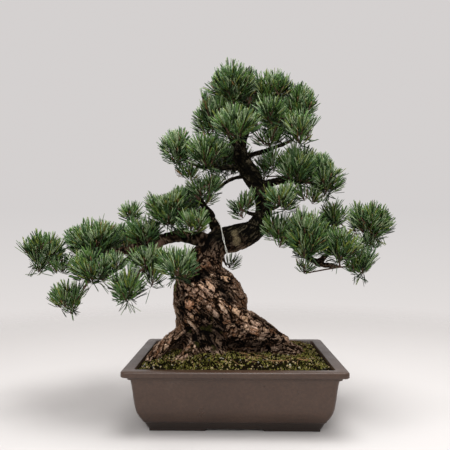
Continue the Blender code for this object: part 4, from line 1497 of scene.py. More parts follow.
@dataclass
class Soil:
    """The soil's surface with its grains, moss and litter."""

    width: float = 0.3262
    depth: float = 0.2262
    bottom: float = 0.0885
    edge: float = 0.0965
    top: float = 0.1085
    shoulder: float = 0.034
    mound: float = 0.0065
    mound_reach: float = 0.095
    trunk: Vector = field(default_factory=lambda: Vector((-0.045, 0.0, 0)))
    fine: float = 0.0016
    coarse: float = 0.0022
    spacing: float = 0.0034
    grains: int = 3700
    grain_size: float = 0.00032
    grain_limit: float = 0.0024
    moss: int = 6500
    clumps: int = 420
    clump_spread: float = 0.0042
    litter: int = 260
    litter_half: tuple = (0.005, 0.012)
    litter_thick: float = 0.00042
    stick_thick: float = 0.0011
    stick_every: int = 14
    litter_bend: float = 0.18
    litter_lift: float = 0.0012
    grain_tilt: float = 1.2
    blade_tilt: float = 0.9
    blade_tall: tuple = (0.0012, 0.0036)
    blade_wide: tuple = (0.0005, 0.0013)
    seat: float = 0.0003
    seed: int = 11

    grain_finishes = (
        GrainFinish("tan grain", (0.11, 0.078, 0.034), (0.44, 0.35, 0.19)),
        GrainFinish("mossy grain", (0.052, 0.050, 0.009), (0.22, 0.205, 0.048)),
        GrainFinish("grey grain", (0.07, 0.06, 0.045), (0.30, 0.28, 0.23)),
        GrainFinish("dark grain", (0.0015, 0.0010, 0.0004), (0.018, 0.011, 0.005)),
        GrainFinish("white grain", (0.28, 0.25, 0.17), (0.54, 0.50, 0.39)),
    )
    grain_shares = (0.25, 0.22, 0.06, 0.45, 0.02)
    moss_finishes = (
        GrainFinish("olive moss", (0.044, 0.041, 0.007), (0.140, 0.130, 0.028)),
        GrainFinish("bright moss", (0.125, 0.118, 0.022), (0.350, 0.320, 0.090)),
        GrainFinish("dark moss", (0.002, 0.003, 0.001), (0.014, 0.016, 0.003)),
    )
    moss_shares = (0.38, 0.27, 0.35)

    def level(self, x: float, y: float) -> float:
        """The soil's height: lower along the wall, mounded round the trunk, and uneven."""
        inside = min(self.width / 2 - abs(x), self.depth / 2 - abs(y))
        share = eased(inside, 0, self.shoulder)
        away = math.hypot(x - self.trunk.x, y - self.trunk.y) / self.mound_reach
        rough = noise.fractal(Vector((x, y, 0)) * 60, 0.8, 2.0, 4) * self.fine
        rough += noise.noise(Vector((x, y, 3)) * 22) * self.coarse * share
        mound = self.mound * math.exp(-(away**2)) * share
        return self.edge + (self.top - self.edge) * share + mound + rough

    def surface(self) -> None:
        """The block of soil, whose top is uneven."""
        bm = bmesh.new()
        across = round(self.width / self.spacing)
        down = round(self.depth / self.spacing)
        bmesh.ops.create_grid(bm, x_segments=across, y_segments=down, size=0.5)
        bmesh.ops.scale(bm, vec=(self.width, self.depth, 1), verts=bm.verts)
        flat = list(bm.faces)
        for vert in bm.verts:
            vert.co.z = self.level(vert.co.x, vert.co.y)
        made = bmesh.ops.extrude_face_region(bm, geom=flat, use_keep_orig=True)["geom"]
        for vert in (item for item in made if isinstance(item, bmesh.types.BMVert)):
            vert.co.z = self.bottom
        finished("soil_ground", from_bmesh(bm), [SoilFinish()], "soil", ["soil"])

    def spots(self, rng: np.random.Generator, count: int, margin: float) -> np.ndarray:
        """Random places this far inside the pot's wall, as rows of x and y."""
        xs = rng.uniform(-1, 1, count) * (self.width / 2 - margin)
        ys = rng.uniform(-1, 1, count) * (self.depth / 2 - margin)
        return np.column_stack((xs, ys))

    def grounded(self, spots: np.ndarray, lift: float) -> np.ndarray:
        """The places of these spots, this far above the soil."""
        return np.array([(x, y, self.level(x, y) + lift) for x, y in spots])

    def crumbs(self) -> None:
        """Small grains of clay, pumice and bark."""
        rng = np.random.default_rng(self.seed)
        bm = bmesh.new()
        bmesh.ops.create_icosphere(bm, subdivisions=1, radius=1)
        shapes = rng.uniform(0.65, 1.25, (self.grains, 3))
        sizes = np.minimum(rng.gamma(5.0, self.grain_size, self.grains), self.grain_limit)
        turns = random_turns(rng, sizes[:, None] * shapes, self.grain_tilt)
        slots = rng.choice(len(self.grain_shares), self.grains, p=self.grain_shares)
        places = self.grounded(self.spots(rng, self.grains, 0.001), self.seat)
        mesh = scattered(bm, turns, places, slots)
        finished("soil_grains", mesh, self.grain_finishes, "soil")

    def moss_blades(self) -> None:
        """Short blades of moss, in clumps."""
        rng = np.random.default_rng(self.seed + 1)
        bm = bmesh.new()
        up = Matrix.Translation(UP)
        bmesh.ops.create_cone(
            bm, cap_ends=True, segments=3, radius1=1, radius2=0, depth=2, matrix=up
        )
        clumps = self.spots(rng, self.clumps, 0.006)
        chosen = clumps[rng.integers(0, len(clumps), self.moss)]
        spread = chosen + rng.normal(0, self.clump_spread, (self.moss, 2))
        reach = np.array([self.width / 2 - 0.001, self.depth / 2 - 0.001])
        places = self.grounded(np.clip(spread, -reach, reach), -self.seat)
        tall = rng.uniform(*self.blade_tall, self.moss)
        wide = rng.uniform(*self.blade_wide, self.moss)
        turns = random_turns(rng, np.column_stack((wide, wide, tall)), self.blade_tilt)
        slots = rng.choice(len(self.moss_shares), self.moss, p=self.moss_shares)
        finished("moss", scattered(bm, turns, places, slots), self.moss_finishes, "soil")

    def fallen(self) -> None:
        """Dry needles and bits of twig that lie on the soil."""
        rng = random.Random(self.seed)
        edge = Vector((self.width / 2 - 0.004, self.depth / 2 - 0.004))
        lines = []
        for number in range(self.litter):
            x = rng.uniform(-1, 1) * (self.width / 2 - 0.02)
            y = rng.uniform(-1, 1) * (self.depth / 2 - 0.02)
            turn = rng.uniform(0, 2 * math.pi)
            half = rng.uniform(*self.litter_half)
            thick = self.litter_thick if number % self.stick_every else self.stick_thick
            way = Vector((math.cos(turn), math.sin(turn), 0)) * half
            points = []
            for share in (-1, -0.33, 0.33, 1):
                bend = Vector((-way.y, way.x, 0)) * self.litter_bend * share * share
                spot = Vector((x, y, 0)) + way * share + bend
                spot = Vector(max(-b, min(b, a)) for a, b in zip(spot[:2], edge)).to_3d()
                height = self.level(spot.x, spot.y) + self.litter_lift + thick
                points.append(spot + UP * height)
            lines.append((points, [thick, thick, thick * 0.9, thick * 0.5]))
        finish = GrainFinish("dry needle", (0.12, 0.060, 0.025), (0.34, 0.21, 0.10), 0.6)
        finished("litter", tubes(lines, 0), [finish], "soil")

    def build(self) -> None:
        """Builds the ground and all that lies on it."""
        self.surface()
        self.crumbs()
        self.moss_blades()
        self.fallen()


class Limb(NamedTuple):
    """The line of a limb that bark grows on: its points, frames and radii, and the run there."""

    points: np.ndarray
    sides: np.ndarray
    depths: np.ndarray
    radii: np.ndarray
    run: np.ndarray


def limb_of(points: Sequence[Vector], radii: Sequence[float], start: float) -> Limb:
    """A limb's line with its frames, whose run starts at this length."""
    frames = frames_along(points)
    places = np.array([point[:] for point in points])
    steps = np.linalg.norm(np.diff(places, axis=0), axis=1)
    return Limb(
        places,
        np.array([side[:] for side, _ in frames]),
        np.array([depth[:] for _, depth in frames]),
        np.array(radii),
        start + np.r_[0, np.cumsum(steps)],
    )


@dataclass
class Bark:
    """Gives a wooden mesh the relief of pine bark, and keeps what the finish reads.

    Each point finds the limb that it is on. The plates are cells in that limb's own
    directions, so they run along it, and on the trunk they wind round it as they rise.
    """

    limbs: list
    plate_length: float = 0.0200
    plate_width: float = 0.0100
    twist: float = 16.0
    warp: float = 0.55
    relief: float = 0.0042
    young_relief: float = 0.0016
    knobs: float = 0.0022
    old_below: float = 0.268
    young_above: float = 0.318
    folds: tuple = ()
    plates: tuple = ()
    scars: tuple = ()
    crack: tuple = (0.02, 0.22)
    chip_crack: tuple = (0.02, 0.24)
    slit: tuple = (0.01, 0.08)
    chip_scale: float = 2.2
    slit_scale: tuple = (0.55, 0.55, 0.22)
    level_ground: float = 0.42
    scar_flat: float = 0.8
    moss_below: float = 0.150
    hollow: Vector = field(default_factory=lambda: Vector((-0.045, -0.06, 0.150)))
    hollow_reach: float = 0.040

    def nearest(self, points: np.ndarray) -> tuple[np.ndarray, np.ndarray]:
        """For each point, its limb's number and the nearest place on its line."""
        best = np.full(len(points), np.inf)
        owner = np.zeros(len(points), int)
        place = np.zeros(len(points), int)
        for number, limb in enumerate(self.limbs):
            for index, (spot, radius) in enumerate(zip(limb.points, limb.radii)):
                away = np.linalg.norm(points - spot, axis=1) - radius
                closer = away < best
                best[closer] = away[closer]
                owner[closer] = number
                place[closer] = index
        return owner, place

    def domain(self, points: np.ndarray) -> np.ndarray:
        """Each point's place in its limb's own directions, scaled to the plates' size."""
        owner, place = self.nearest(points)
        found = np.zeros_like(points)
        for number, limb in enumerate(self.limbs):
            mine = owner == number
            index = place[mine]
            away = points[mine] - limb.points[index]
            across = (away * limb.sides[index]).sum(axis=1)
            deep = (away * limb.depths[index]).sum(axis=1)
            ahead = np.cross(limb.sides[index], limb.depths[index])
            run = limb.run[index] + (away * ahead).sum(axis=1)
            turn = self.twist * run
            found[mine, 0] = (across * np.cos(turn) - deep * np.sin(turn)) / self.plate_width
            found[mine, 1] = (across * np.sin(turn) + deep * np.cos(turn)) / self.plate_width
            found[mine, 2] = run / self.plate_length + 7.3 * number
        return found

    def height(self, place: Vector) -> tuple[float, float]:
        """The bark's height and tone in plate coordinates.

        Args:
            place: The point in its limb's own directions.

        Returns:
            The height from 0 in a fissure to 1 on a plate, and the plate's tone.
        """
        warped = place + noise.turbulence_vector(place * 0.8, 3, False) * self.warp
        gaps, cells = noise.voronoi(warped, distance_metric="MANHATTAN")
        crack = eased(gaps[1] - gaps[0], *self.crack)
        level = 0.5 + 0.5 * noise.cell(cells[0] * 9.7 + Vector((31.4, 15.9, 26.5)))
        finer = warped * self.chip_scale + Vector((3, 8, 1))
        gaps, cells = noise.voronoi(finer, distance_metric="MANHATTAN")
        flake = eased(gaps[1] - gaps[0], *self.chip_crack)
        chip = 0.5 + 0.5 * noise.cell(cells[0] * 7.1 + Vector((11.4, 5.9, 16.5)))
        long = Vector(a * b for a, b in zip(warped, self.slit_scale))
        gaps, _ = noise.voronoi(long + Vector((5, 2, 9)))
        deep = eased(gaps[1] - gaps[0], *self.slit)
        height = crack * (0.20 + 0.35 * level + 0.45 * flake * (0.3 + 0.7 * chip))
        return float(height * (0.25 + 0.75 * deep)), float(0.5 * level + 0.5 * chip)

    def folded(self, points: np.ndarray, normals: np.ndarray) -> tuple[np.ndarray, np.ndarray]:
        """How far the trunk's own folds push each point, and how pale they make it: darker as
        painted shade, paler as pale bark and painted highlight.
        """
        push = np.zeros(len(points))
        pale = np.zeros(len(points))
        front = eased(-normals[:, 1], 0.0, 0.35)
        flat = points[:, (0, 2)]
        for fold in self.folds:
            start = np.array((fold.x, fold.z))
            along = np.array((fold.to_x, fold.to_z)) - start
            share = np.clip(((flat - start) @ along) / (along @ along), 0, 1)
            away = np.linalg.norm(flat - start - share[:, None] * along, axis=1)
            weight = np.exp(-((away / fold.half_width) ** 2)) * front
            push += fold.rise * weight
            pale = np.where(weight * abs(fold.pale) > np.abs(pale), fold.pale * weight, pale)
        return push, pale

    def plated(self, points: np.ndarray, normals: np.ndarray, table: np.ndarray) -> np.ndarray:
        """Lays the large plates of the trunk's front over the small ones.

        Args:
            points: Rows of x, y and z.
            normals: The surface's directions there.
            table: The height and the tone of each point, which are changed.

        Returns:
            How pale each point is made.
        """
        ragged = wavy(points, 230)
        front = eased(-normals[:, 1], 0.0, 0.25)
        pale = np.zeros(len(points))
        for plate in self.plates:
            turn = math.radians(plate.turn)
            away = points[:, (0, 2)] - np.array((plate.x, plate.z))
            along = away @ np.array((math.cos(turn), -math.sin(turn))) / plate.half_length
            across = away @ np.array((math.sin(turn), math.cos(turn))) / plate.half_width
            near = np.hypot(along, across) + 0.55 * ragged
            inside = eased(near, 1.0, 0.80) * front
            reach = eased(near, 1.30, 1.10) * front
            raised = inside * (0.30 + 0.16 * ragged + 0.42 * table[:, 0])
            table[:, 0] = table[:, 0] * (1 - reach) + raised * reach
            table[:, 1] = table[:, 1] * (1 - inside) + plate.tone * inside
            pale = np.maximum(pale, plate.pale * inside * (0.95 + 0.55 * ragged))
        return pale

    def dress(self, mesh: bpy.types.Mesh) -> None:
        """Moves each point by the bark's height and keeps the finish's numbers."""
        points = np.empty(len(mesh.vertices) * 3)
        normals = np.empty(len(mesh.vertices) * 3)
        mesh.vertices.foreach_get("co", points)
        mesh.vertex_normals.foreach_get("vector", normals)
        points = points.reshape(-1, 3)
        normals = normals.reshape(-1, 3)
        table = np.array([self.height(Vector(place)) for place in self.domain(points)])
        rough = wavy(points, 45)
        lumps = wavy(points, 62, (9, 4, 2))
        share = (self.young_above - points[:, 2]) / (self.young_above - self.old_below)
        age = np.clip(share + 0.35 * rough, 0, 1)
        push, pale = self.folded(points, normals)
        plated = self.plated(points, normals, table)
        pale = np.where(plated > np.abs(pale), plated, pale)
        low = eased(points[:, 2], self.moss_below, self.moss_below - 0.040)
        near = np.linalg.norm((points - np.array(self.hollow))[:, (0, 2)], axis=1)
        near += 0.030 * lumps + 0.020 * rough
        front = eased(-normals[:, 1], 0, 0.4)
        shaded = eased(near, self.hollow_reach, self.hollow_reach * 0.3) * front
        # Painted shade: the hollow at the trunk's foot is darkened.
        pale = np.minimum(pale, pale * (1 - shaded) - 0.85 * shaded)
        patchy = eased(rough - 0.7 * lumps, 0.02, 0.30)
        moss = np.clip(np.maximum(low * (0.5 + 0.5 * normals[:, 2]), shaded) * patchy, 0, 1)
        scar = np.zeros(len(points))
        for centre, radius in self.scars:
            away = (points - np.array(centre)) * (1.0, 1.0, 0.8)
            inside = radius - np.linalg.norm(away, axis=1) + 0.006 * rough
            scar = np.maximum(scar, eased(inside, 0.0, 0.004))
        amount = self.young_relief + (self.relief - self.young_relief) * age
        push += (table[:, 0] - self.level_ground) * amount * (1 - self.scar_flat * scar)
        push += lumps * self.knobs * (1 - age)
        mesh.vertices.foreach_set("co", (points + normals * push[:, None]).ravel())
        kept = {"relief": table[:, 0], "tone": table[:, 1], "pale": pale, "age": age}
        kept |= {"moss": moss, "scar": scar}
        for name, values in kept.items():
            layer = mesh.attributes.new(name, "FLOAT", "POINT")
            layer.data.foreach_set("value", values.astype(np.float32))
        mesh.update()


@dataclass
class Wood:
    """The trunk with its roots and burls in one skin, and the boughs."""

    skeleton: Skeleton
    voxel: float = 0.0015
    rings: int = 170
    sides: int = 48
    root_rings: int = 40
    root_sides: int = 24
    bough_step: float = 0.0022
    bough_sides: int = 16
    collar: float = 0.8
    collar_reach: float = 0.016
    stouter: dict = field(default_factory=lambda: {"left": 1.28, "shelf": 1.30})
    flute: float = 0.02
    foot_flute: float = 0.035
    foot_ring: float = 9.5
    root_wander: float = 0.12
    root_lumps: float = 0.18
    burl_rounds: int = 3
    soften_rounds: int = 7

    def flutes(self, share: float, angle: float) -> float:
        """How far the trunk's surface swells at this share of its length and angle."""
        index = share * (self.skeleton.trunk_rings - 1)
        soft = min(1.0, max(0.0, (self.foot_ring - index) / 2))
        depth = self.flute + self.foot_flute * soft
        fold = math.sin(3 * angle + 0.55 * index) + 0.6 * math.sin(5 * angle - 0.4 * index + 1)
        return 1 + depth * fold

    def trunk(self, bm: bmesh.types.BMesh) -> Limb:
        """The fluted trunk, whose line is returned for the bark."""
        points, widths = self.skeleton.trunk_line(self.rings)
        halves = self.skeleton.trunk_half_sizes(widths)
        rings = sweep(bm, points, halves, self.sides)
        for index, (ring, (side, depth)) in enumerate(zip(rings, frames_along(points))):
            half_width, half_depth = halves[index]
            for vert in ring:
                away = vert.co - points[index]
                angle = math.atan2(away.dot(depth) / half_depth, away.dot(side) / half_width)
                vert.co = points[index] + away * self.flutes(index / (self.rings - 1), angle)
        return limb_of(points, [half for half, _ in halves], 0.0)

    def roots(self, bm: bmesh.types.BMesh) -> list[Limb]:
        """The surface roots, which wander a little as they run."""
        found = []
        for number, root in enumerate(ROOTS):
            line = sampled(self.skeleton.limb_line(root.start, root), self.root_rings)
            radii = tapered(self.root_rings, root.thick, root.thin, root.belly)
            for index, point in enumerate(line):
                wander = noise.noise_vector(point * 30 + Vector((number, 0, 0)))
                line[index] = point + wander * self.root_wander * radii[index]
                radii[index] *= 1 + self.root_lumps * noise.noise(point * 55)
            sweep(bm, line, [(radius, radius) for radius in radii], self.root_sides)
            found.append(limb_of(line, radii, 0.2 * number))
        return found

    def skin(self, mesh: bpy.types.Mesh) -> bpy.types.Mesh:
        """Joins what overlaps into one even skin and rounds its seams."""
        helper = placed("wood", mesh)
        remesh = helper.modifiers.new("Skin", "REMESH")
        remesh.mode = "VOXEL"
        remesh.voxel_size = self.voxel
        smooth = helper.modifiers.new("Soften", "SMOOTH")
        smooth.factor = 0.5
        smooth.iterations = self.soften_rounds
        return applied(helper)

    def cut_flat(self, mesh: bpy.types.Mesh) -> None:
        """Cuts the foot flat at the ground and closes it."""
        bm = bmesh.new()
        bm.from_mesh(mesh)
        geom = [*bm.verts, *bm.edges, *bm.faces]
        level = (0, 0, GROUND)
        cut = bmesh.ops.bisect_plane(bm, geom=geom, plane_co=level, plane_no=UP, clear_inner=True)
        rim = [item for item in cut["geom_cut"] if isinstance(item, bmesh.types.BMEdge)]
        bmesh.ops.triangle_fill(bm, edges=rim, use_beauty=True)
        bm.to_mesh(mesh)
        bm.free()

    def build_trunk(self) -> None:
        """Builds and dresses the trunk with its roots and burls."""
        bm = bmesh.new()
        limbs = [self.trunk(bm), *self.roots(bm)]
        for centre, radius in BURLS:
            place = Matrix.Translation(centre)
            rounds = self.burl_rounds
            bmesh.ops.create_icosphere(bm, subdivisions=rounds, radius=radius, matrix=place)
        mesh = self.skin(from_bmesh(bm))
        Bark(limbs, folds=FOLDS, plates=PLATES, scars=SCARS).dress(mesh)
        self.cut_flat(mesh)
        finished("trunk_bark", mesh, [BarkFinish()], "bark", ["trunk"])

    def bough_line(self, name: str) -> tuple[list[Vector], list[float]]:
        """A bough's line and radii: kinked, knotty and with a collar at its foot.

        Args:
            name: The bough.

        Returns:
            Its points, on to the end of its mass's stem, and its radii.
        """
        bough = BOUGHS[name]
        count = max(16, round(bough.length / self.bough_step))
        shares = np.linspace(0, 1, count)
        fine = self.skeleton.lines[name]
        points = []
        radii = []
        for share in shares:
            spot = share * (len(fine) - 1)
            low = min(int(spot), len(fine) - 2)
            point = fine[low].lerp(fine[low + 1], spot - low)
            radius = (bough.thick + (bough.thin - bough.thick) * share) / 2
            loose = min(1, 6 * share) * min(1, 6 * (1 - share))
            wander = noise.noise_vector(point * 38) * 0.55 + noise.noise_vector(point * 95) * 0.2
            swell = self.collar * math.exp(-share * bough.length / self.collar_reach)
            knot = 0.16 * max(0.0, noise.noise(point * 120)) + 0.08 * noise.noise(point * 60)
            points.append(point + wander * radius * loose)
            radii.append(radius * (1 + swell + knot) * self.stouter.get(name, 1))
        return points, radii

    def build_boughs(self) -> None:
        """Builds and dresses the boughs."""
        bm = bmesh.new()
        limbs = []
        for number, name in enumerate(BOUGHS):
            points, radii = self.bough_line(name)
            sweep(bm, points, [(radius, radius) for radius in radii], self.bough_sides)
            limbs.append(limb_of(points, radii, 0.3 * number))
        mesh = from_bmesh(bm)
        bark = Bark(
            limbs, plate_length=0.0095, plate_width=0.0046, relief=0.0020, young_relief=0.0012,
            knobs=0.0010, old_below=0.12, young_above=0.35, moss_below=0.05, hollow_reach=0.001,
        )
        bark.dress(mesh)
        nodes = ["bough_" + name for name in BOUGHS]
        finished("bough_bark", mesh, [BarkFinish()], "bough_bark", nodes)

    def build(self) -> None:
        """Builds all the thick wood."""
        self.build_trunk()
        self.build_boughs()


@dataclass
class Twigs:
    """The twigs that carry the tufts, with a bud at each end."""

    masses: dict[str, Mass]
    bud_length: float = 0.0055
    bud_width: float = 0.0011
    twig_end: float = 0.0010
    crook: float = 0.0008

    def bent(self, points: Sequence[Vector]) -> list[Vector]:
        """A line whose corners are cut off, and which is a little crooked."""
        found = [points[0]]
        for start, end in zip(points, points[1:]):
            found += [start.lerp(end, 0.25), start.lerp(end, 0.75)]
        found.append(points[-1])
        return [point + noise.noise_vector(point * 140) * self.crook for point in found]

    def lines(self) -> list[tuple]:
        """The stems and the twigs, with their radii."""
        found = []
        for name, mass in self.masses.items():
            tip, onward = mass.skeleton.limb_end(name)
            thick = BOUGHS[name].thin if name in BOUGHS else TRUNK[-1].width
            radii = np.linspace(thick / 2, mass.twig_thick * 0.6, 4)
            line = [tip - onward * 0.003, tip + onward * 0.004, tip + onward * 0.009]
            found.append(([*line, mass.stem_end], list(radii)))
        for points, stout in (stalk for mass in self.masses.values() for stalk in mass.stalks):
            line = self.bent(points)
            found.append((line, list(np.linspace(stout, self.twig_end, len(line)))))
        return found

    def buds(self) -> bpy.types.Mesh:
        """A pointed bud at the end of each shoot."""
        bm = bmesh.new()
        bmesh.ops.create_icosphere(bm, subdivisions=1, radius=1)
        tufts = [tuft for mass in self.masses.values() for tuft in mass.tufts]
        turns = []
        for tuft in tufts:
            side, depth = frames_along([Vector(), tuft.axis])[0]
            columns = (side * self.bud_width, depth * self.bud_width, tuft.axis * self.bud_length)
            turns.append(np.array(Matrix(columns).transposed()))
        places = np.array([tuft.tip[:] for tuft in tufts])
        return scattered(bm, np.array(turns), places, np.zeros(len(tufts), int))

    def build(self) -> None:
        """Builds and dresses the twigs and the buds."""
        finished("twigs", tubes(self.lines(), 1), [TwigFinish()], "bough_bark")
        scales = GrainFinish("bud scale", (0.12, 0.060, 0.028), (0.27, 0.17, 0.09), 0.6)
        finished("buds", self.buds(), [scales], "needles")


@dataclass
class Foliage:
    """The needles: brushes of bundles that fan out from the end of each shoot.

    A needle is a slim three-sided blade that starts at a point, is widest from a third of its
    length on, and ends in a short tip.
    """

    masses: dict[str, Mass]
    bundles: int = 25
    per_bundle: int = 3
    strays: float = 0.35
    length: float = 0.0290
    widest: float = 74.0
    narrowest: float = 4.0
    fan: float = 0.050
    drooping: int = 3
    droop: float = 1.05
    droop_spread: tuple = (0.4, 1.5)
    droop_below: float = -0.15
    waist_half: float = 0.00066
    end_half: float = 0.00054
    waist: float = 0.36
    end: float = 0.92
    curl: float = 0.50
    curl_spread: tuple = (0.4, 1.3)
    lift: float = 0.22
    unruly: float = 0.07
    tuft_spread: tuple = (0.84, 1.08)
    needle_spread: tuple = (0.90, 1.04)
    limit_above: float = 1.24
    limit_below: float = 1.42
    ragged: tuple = (0.80, 1.0)
    thinned: float = 0.40
    lit_base: float = 0.5
    proud: float = 0.02
    seed: int = 3
    shaded_tint: int = 3
    base_tint: int = 6
    leanings: tuple = (2.4, 4.0, 3.2, 3.0, 1.2, 0.10)

    # Of these tints, picked deals the palest more to bundles that face up high in their cushions,
    # as painted light, and the darkest more to bundles below, as painted shade.
    tints = (
        NeedleFinish("pale needle", (0.145, 0.208, 0.100), (0.360, 0.440, 0.255)),
        NeedleFinish("green needle", (0.046, 0.102, 0.020), (0.112, 0.206, 0.046)),
        NeedleFinish("blue needle", (0.037, 0.082, 0.029), (0.088, 0.165, 0.066)),
        NeedleFinish("deep needle", (0.004, 0.012, 0.002), (0.017, 0.038, 0.008)),
        NeedleFinish("fresh needle", (0.105, 0.140, 0.022), (0.215, 0.255, 0.052)),
        NeedleFinish("ochre needle", (0.130, 0.075, 0.025), (0.240, 0.150, 0.055)),
        NeedleFinish("needle base", (0.075, 0.100, 0.014), (0.165, 0.200, 0.036)),
    )

    def picked(
        self, heights: np.ndarray, rising: np.ndarray, rng: np.random.Generator
    ) -> np.ndarray:
        """The tint of each bundle: paler where it rises on top of its cushion or points up, as
        painted light, and deeper below, as painted shade.

        Args:
            heights: Each tuft's height in its cushion, from -1 to 1.
            rising: How far each of its bundles points up.
            rng: The random numbers.

        Returns:
            The number of a tint for each bundle.
        """
        leans = rng.dirichlet(self.leanings, len(heights))[:, None]
        top = np.clip(0.5 + 0.5 * heights[:, None], 0, 1)
        lit = 0.45 * top + 0.55 * eased(rising, -0.3, 0.8)
        flat = np.ones_like(lit)
        paler = (0.2 + 1.9 * lit, 0.5 + 0.7 * lit, 1.1 * flat)
        deeper = (3.0 - 2.8 * lit, 0.2 + 1.3 * lit, flat)
        bounds = (leans * np.stack(paler + deeper, axis=-1)).cumsum(axis=-1)
        spot = rng.random(lit.shape) * bounds[..., -1]
        return (spot[..., None] > bounds[..., :-1]).sum(axis=-1)

    def needles(self, tufts: Sequence[Tuft], rng: np.random.Generator) -> tuple[np.ndarray, ...]:
        """The centre lines of all the needles of some tufts.

        Args:
            tufts: The tufts.
            rng: The random numbers.

        Returns:
            The feet, the waists, the ends and the tips as rows, each needle's tint, and its
            tuft's height in its cushion.
        """
        axes = np.array([tuft.axis[:] for tuft in tufts])
        heels = np.array([tuft.heel[:] for tuft in tufts])
        heights = np.array([tuft.height for tuft in tufts])
        frames = [frames_along([Vector(), tuft.axis])[0] for tuft in tufts]
        sides = np.array([side[:] for side, _ in frames])
        depths = np.array([depth[:] for _, depth in frames])
        count = (len(tufts), self.bundles)
        share = (np.arange(self.bundles)[None] + rng.uniform(0.1, 0.9, count)) / self.bundles
        angle = GOLDEN_ANGLE * np.arange(self.bundles)[None] + rng.uniform(0, 0.7, count)
        angle += rng.uniform(0, 2 * np.pi, (len(tufts), 1))
        flat, steep = np.cos(np.radians((self.widest, self.narrowest)))
        open_by = np.arccos(flat + (steep - flat) * share) + rng.normal(0, self.unruly, count)
        loose = (heights[:, None] < self.droop_below) & (np.arange(self.bundles) < self.drooping)
        open_by += self.droop * loose * rng.uniform(*self.droop_spread, count)
        radial = np.cos(angle)[..., None] * sides[:, None]
        radial += np.sin(angle)[..., None] * depths[:, None]
        way = np.sin(open_by)[..., None] * radial + np.cos(open_by)[..., None] * axes[:, None]
        foot = heels[:, None] + axes[:, None] * (Mass.heel_run * share)[..., None]
        many = (*count, self.per_bundle)
        ways = way[:, :, None] + rng.normal(0, self.fan, (*many, 3))
        ways /= np.linalg.norm(ways, axis=-1, keepdims=True)
        size = rng.uniform(*self.tuft_spread, (len(tufts), 1, 1))
        size = size * rng.uniform(*self.needle_spread, many)
        length = (self.length * size)[..., None]
        starts = np.broadcast_to(foot[:, :, None], ways.shape)
        waists = starts + ways * length * self.waist
        held = 1.0 - loose[:, :, None, None]
        curl = self.curl * rng.uniform(*self.curl_spread, many)[..., None] * held
        onward = ways + axes[:, None, None] * curl + np.array((0, 0, self.lift)) * held
        onward /= np.linalg.norm(onward, axis=-1, keepdims=True)
        ends = waists + onward * length * (self.end - self.waist)
        tips = waists + onward * length * (1 - self.waist)
        tints = np.broadcast_to(self.picked(heights, way[..., 2], rng)[..., None], many)
        others = self.picked(heights, way[..., 2], rng)[..., None]
        tints = np.where(rng.random(many) < self.strays, others, tints)
        lines = (rows.reshape(-1, 3) for rows in (starts, waists, ends, tips))
        return *lines, tints.ravel(), np.broadcast_to(heights[:, None, None], many).ravel()

    def kept(self, tips: np.ndarray, mass: str, rng: np.random.Generator) -> np.ndarray:
        """Which tips stay in their mass's own space, or a little past it.

        Args:
            tips: The needles' tips.
            mass: Their mass.
            rng: The random numbers that make its edge ragged.

        Returns:
            True for the needles that stay.
        """
        slack = rng.uniform(*self.ragged, len(tips))
        own = np.full(len(tips), np.inf)
        other = np.full(len(tips), np.inf)
        for name, pads in PADS.items():
            for pad in pads + FILLERS.get(name, ()):
                away = (tips - np.array(pad[:3])) / np.array(pad[3:6])
                near = np.linalg.norm(away, axis=1)
                if name == mass:
                    near /= np.where(away[:, 2] < -0.3, self.limit_below, self.limit_above)
                    own = np.minimum(own, near)
                else:
                    other = np.minimum(other, near)
        low, high = (np.array(corner) for corner in CAD_BOX)
        margin = (high - low) * self.proud
        boxed = ((tips > low - margin) & (tips < high + margin)).all(axis=1)
        clear = ~in_sky(tips, slack + 0.1)
        return clear & boxed & (own < slack) & (own * self.limit_above < other + 0.6)

    def blades(
        self, starts: np.ndarray, waists: np.ndarray, ends: np.ndarray, tips: np.ndarray
    ) -> np.ndarray:
        """The eight points of each needle.

        Args:
            starts: Where the needles start.
            waists: Where they are widest.
            ends: Where their tips begin.
            tips: Where they end.

        Returns:
            The foot, three points at the waist, three at the end and the tip of each.
        """
        along = tips - waists
        along /= np.linalg.norm(along, axis=1, keepdims=True)
        side = np.cross(along, (0.31, 0.17, 0.93))
        side /= np.linalg.norm(side, axis=1, keepdims=True)
        depth = np.cross(along, side)
        rows = [starts]
        for middle, half in ((waists, self.waist_half), (ends, self.end_half)):
            for k in range(3):
                angle = 2 * math.pi * k / 3
                rows.append(middle + (side * math.cos(angle) + depth * math.sin(angle)) * half)
        rows.append(tips)
        return np.stack(rows, axis=1)

    def piece(self, region: Region) -> None:
        """Builds and dresses one region's needles as one piece."""
        rng = np.random.default_rng([self.seed, len(region.value)])
        points = []
        tints = []
        for name in region.value:
            *lines, picked, heights = self.needles(self.masses[name].tufts, rng)
            dense = 1 - self.thinned * eased(-heights, 0.1, 0.9)
            inside = self.kept(lines[-1], name, rng) & (rng.random(len(dense)) < dense)
            points.append(self.blades(*(rows[inside] for rows in lines)))
            tints.append(picked[inside])
        tints = np.concatenate(tints)
        around = [(k + 1, (k + 1) % 3 + 1) for k in range(3)]
        faces = [(0, b, a) for a, b in around]
        faces += [(a, b, b + 3, a + 3) for a, b in around]
        faces += [(a + 3, b + 3, 7) for a, b in around]
        slots = np.repeat(tints[:, None], len(faces), axis=1)
        # Painted shade at the needles' feet: the darkest tint at the feet of about half the needles
        # and of all the darkest ones, the needle base tint at the others.
        lit = (tints != self.shaded_tint) & (rng.random(len(tints)) < self.lit_base)
        slots[:, :3] = np.where(lit, self.base_tint, self.shaded_tint)[:, None]
        mesh = copies(np.concatenate(points), faces, slots)
        nodes = ["needles_" + ("apex" if name == "trunk" else name) for name in region.value]
        finished("foliage_" + region.name.lower(), mesh, self.tints, "needles", nodes)

    def build(self) -> None:
        """Builds and dresses the needles of every region."""
        for region in Region:
            self.piece(region)


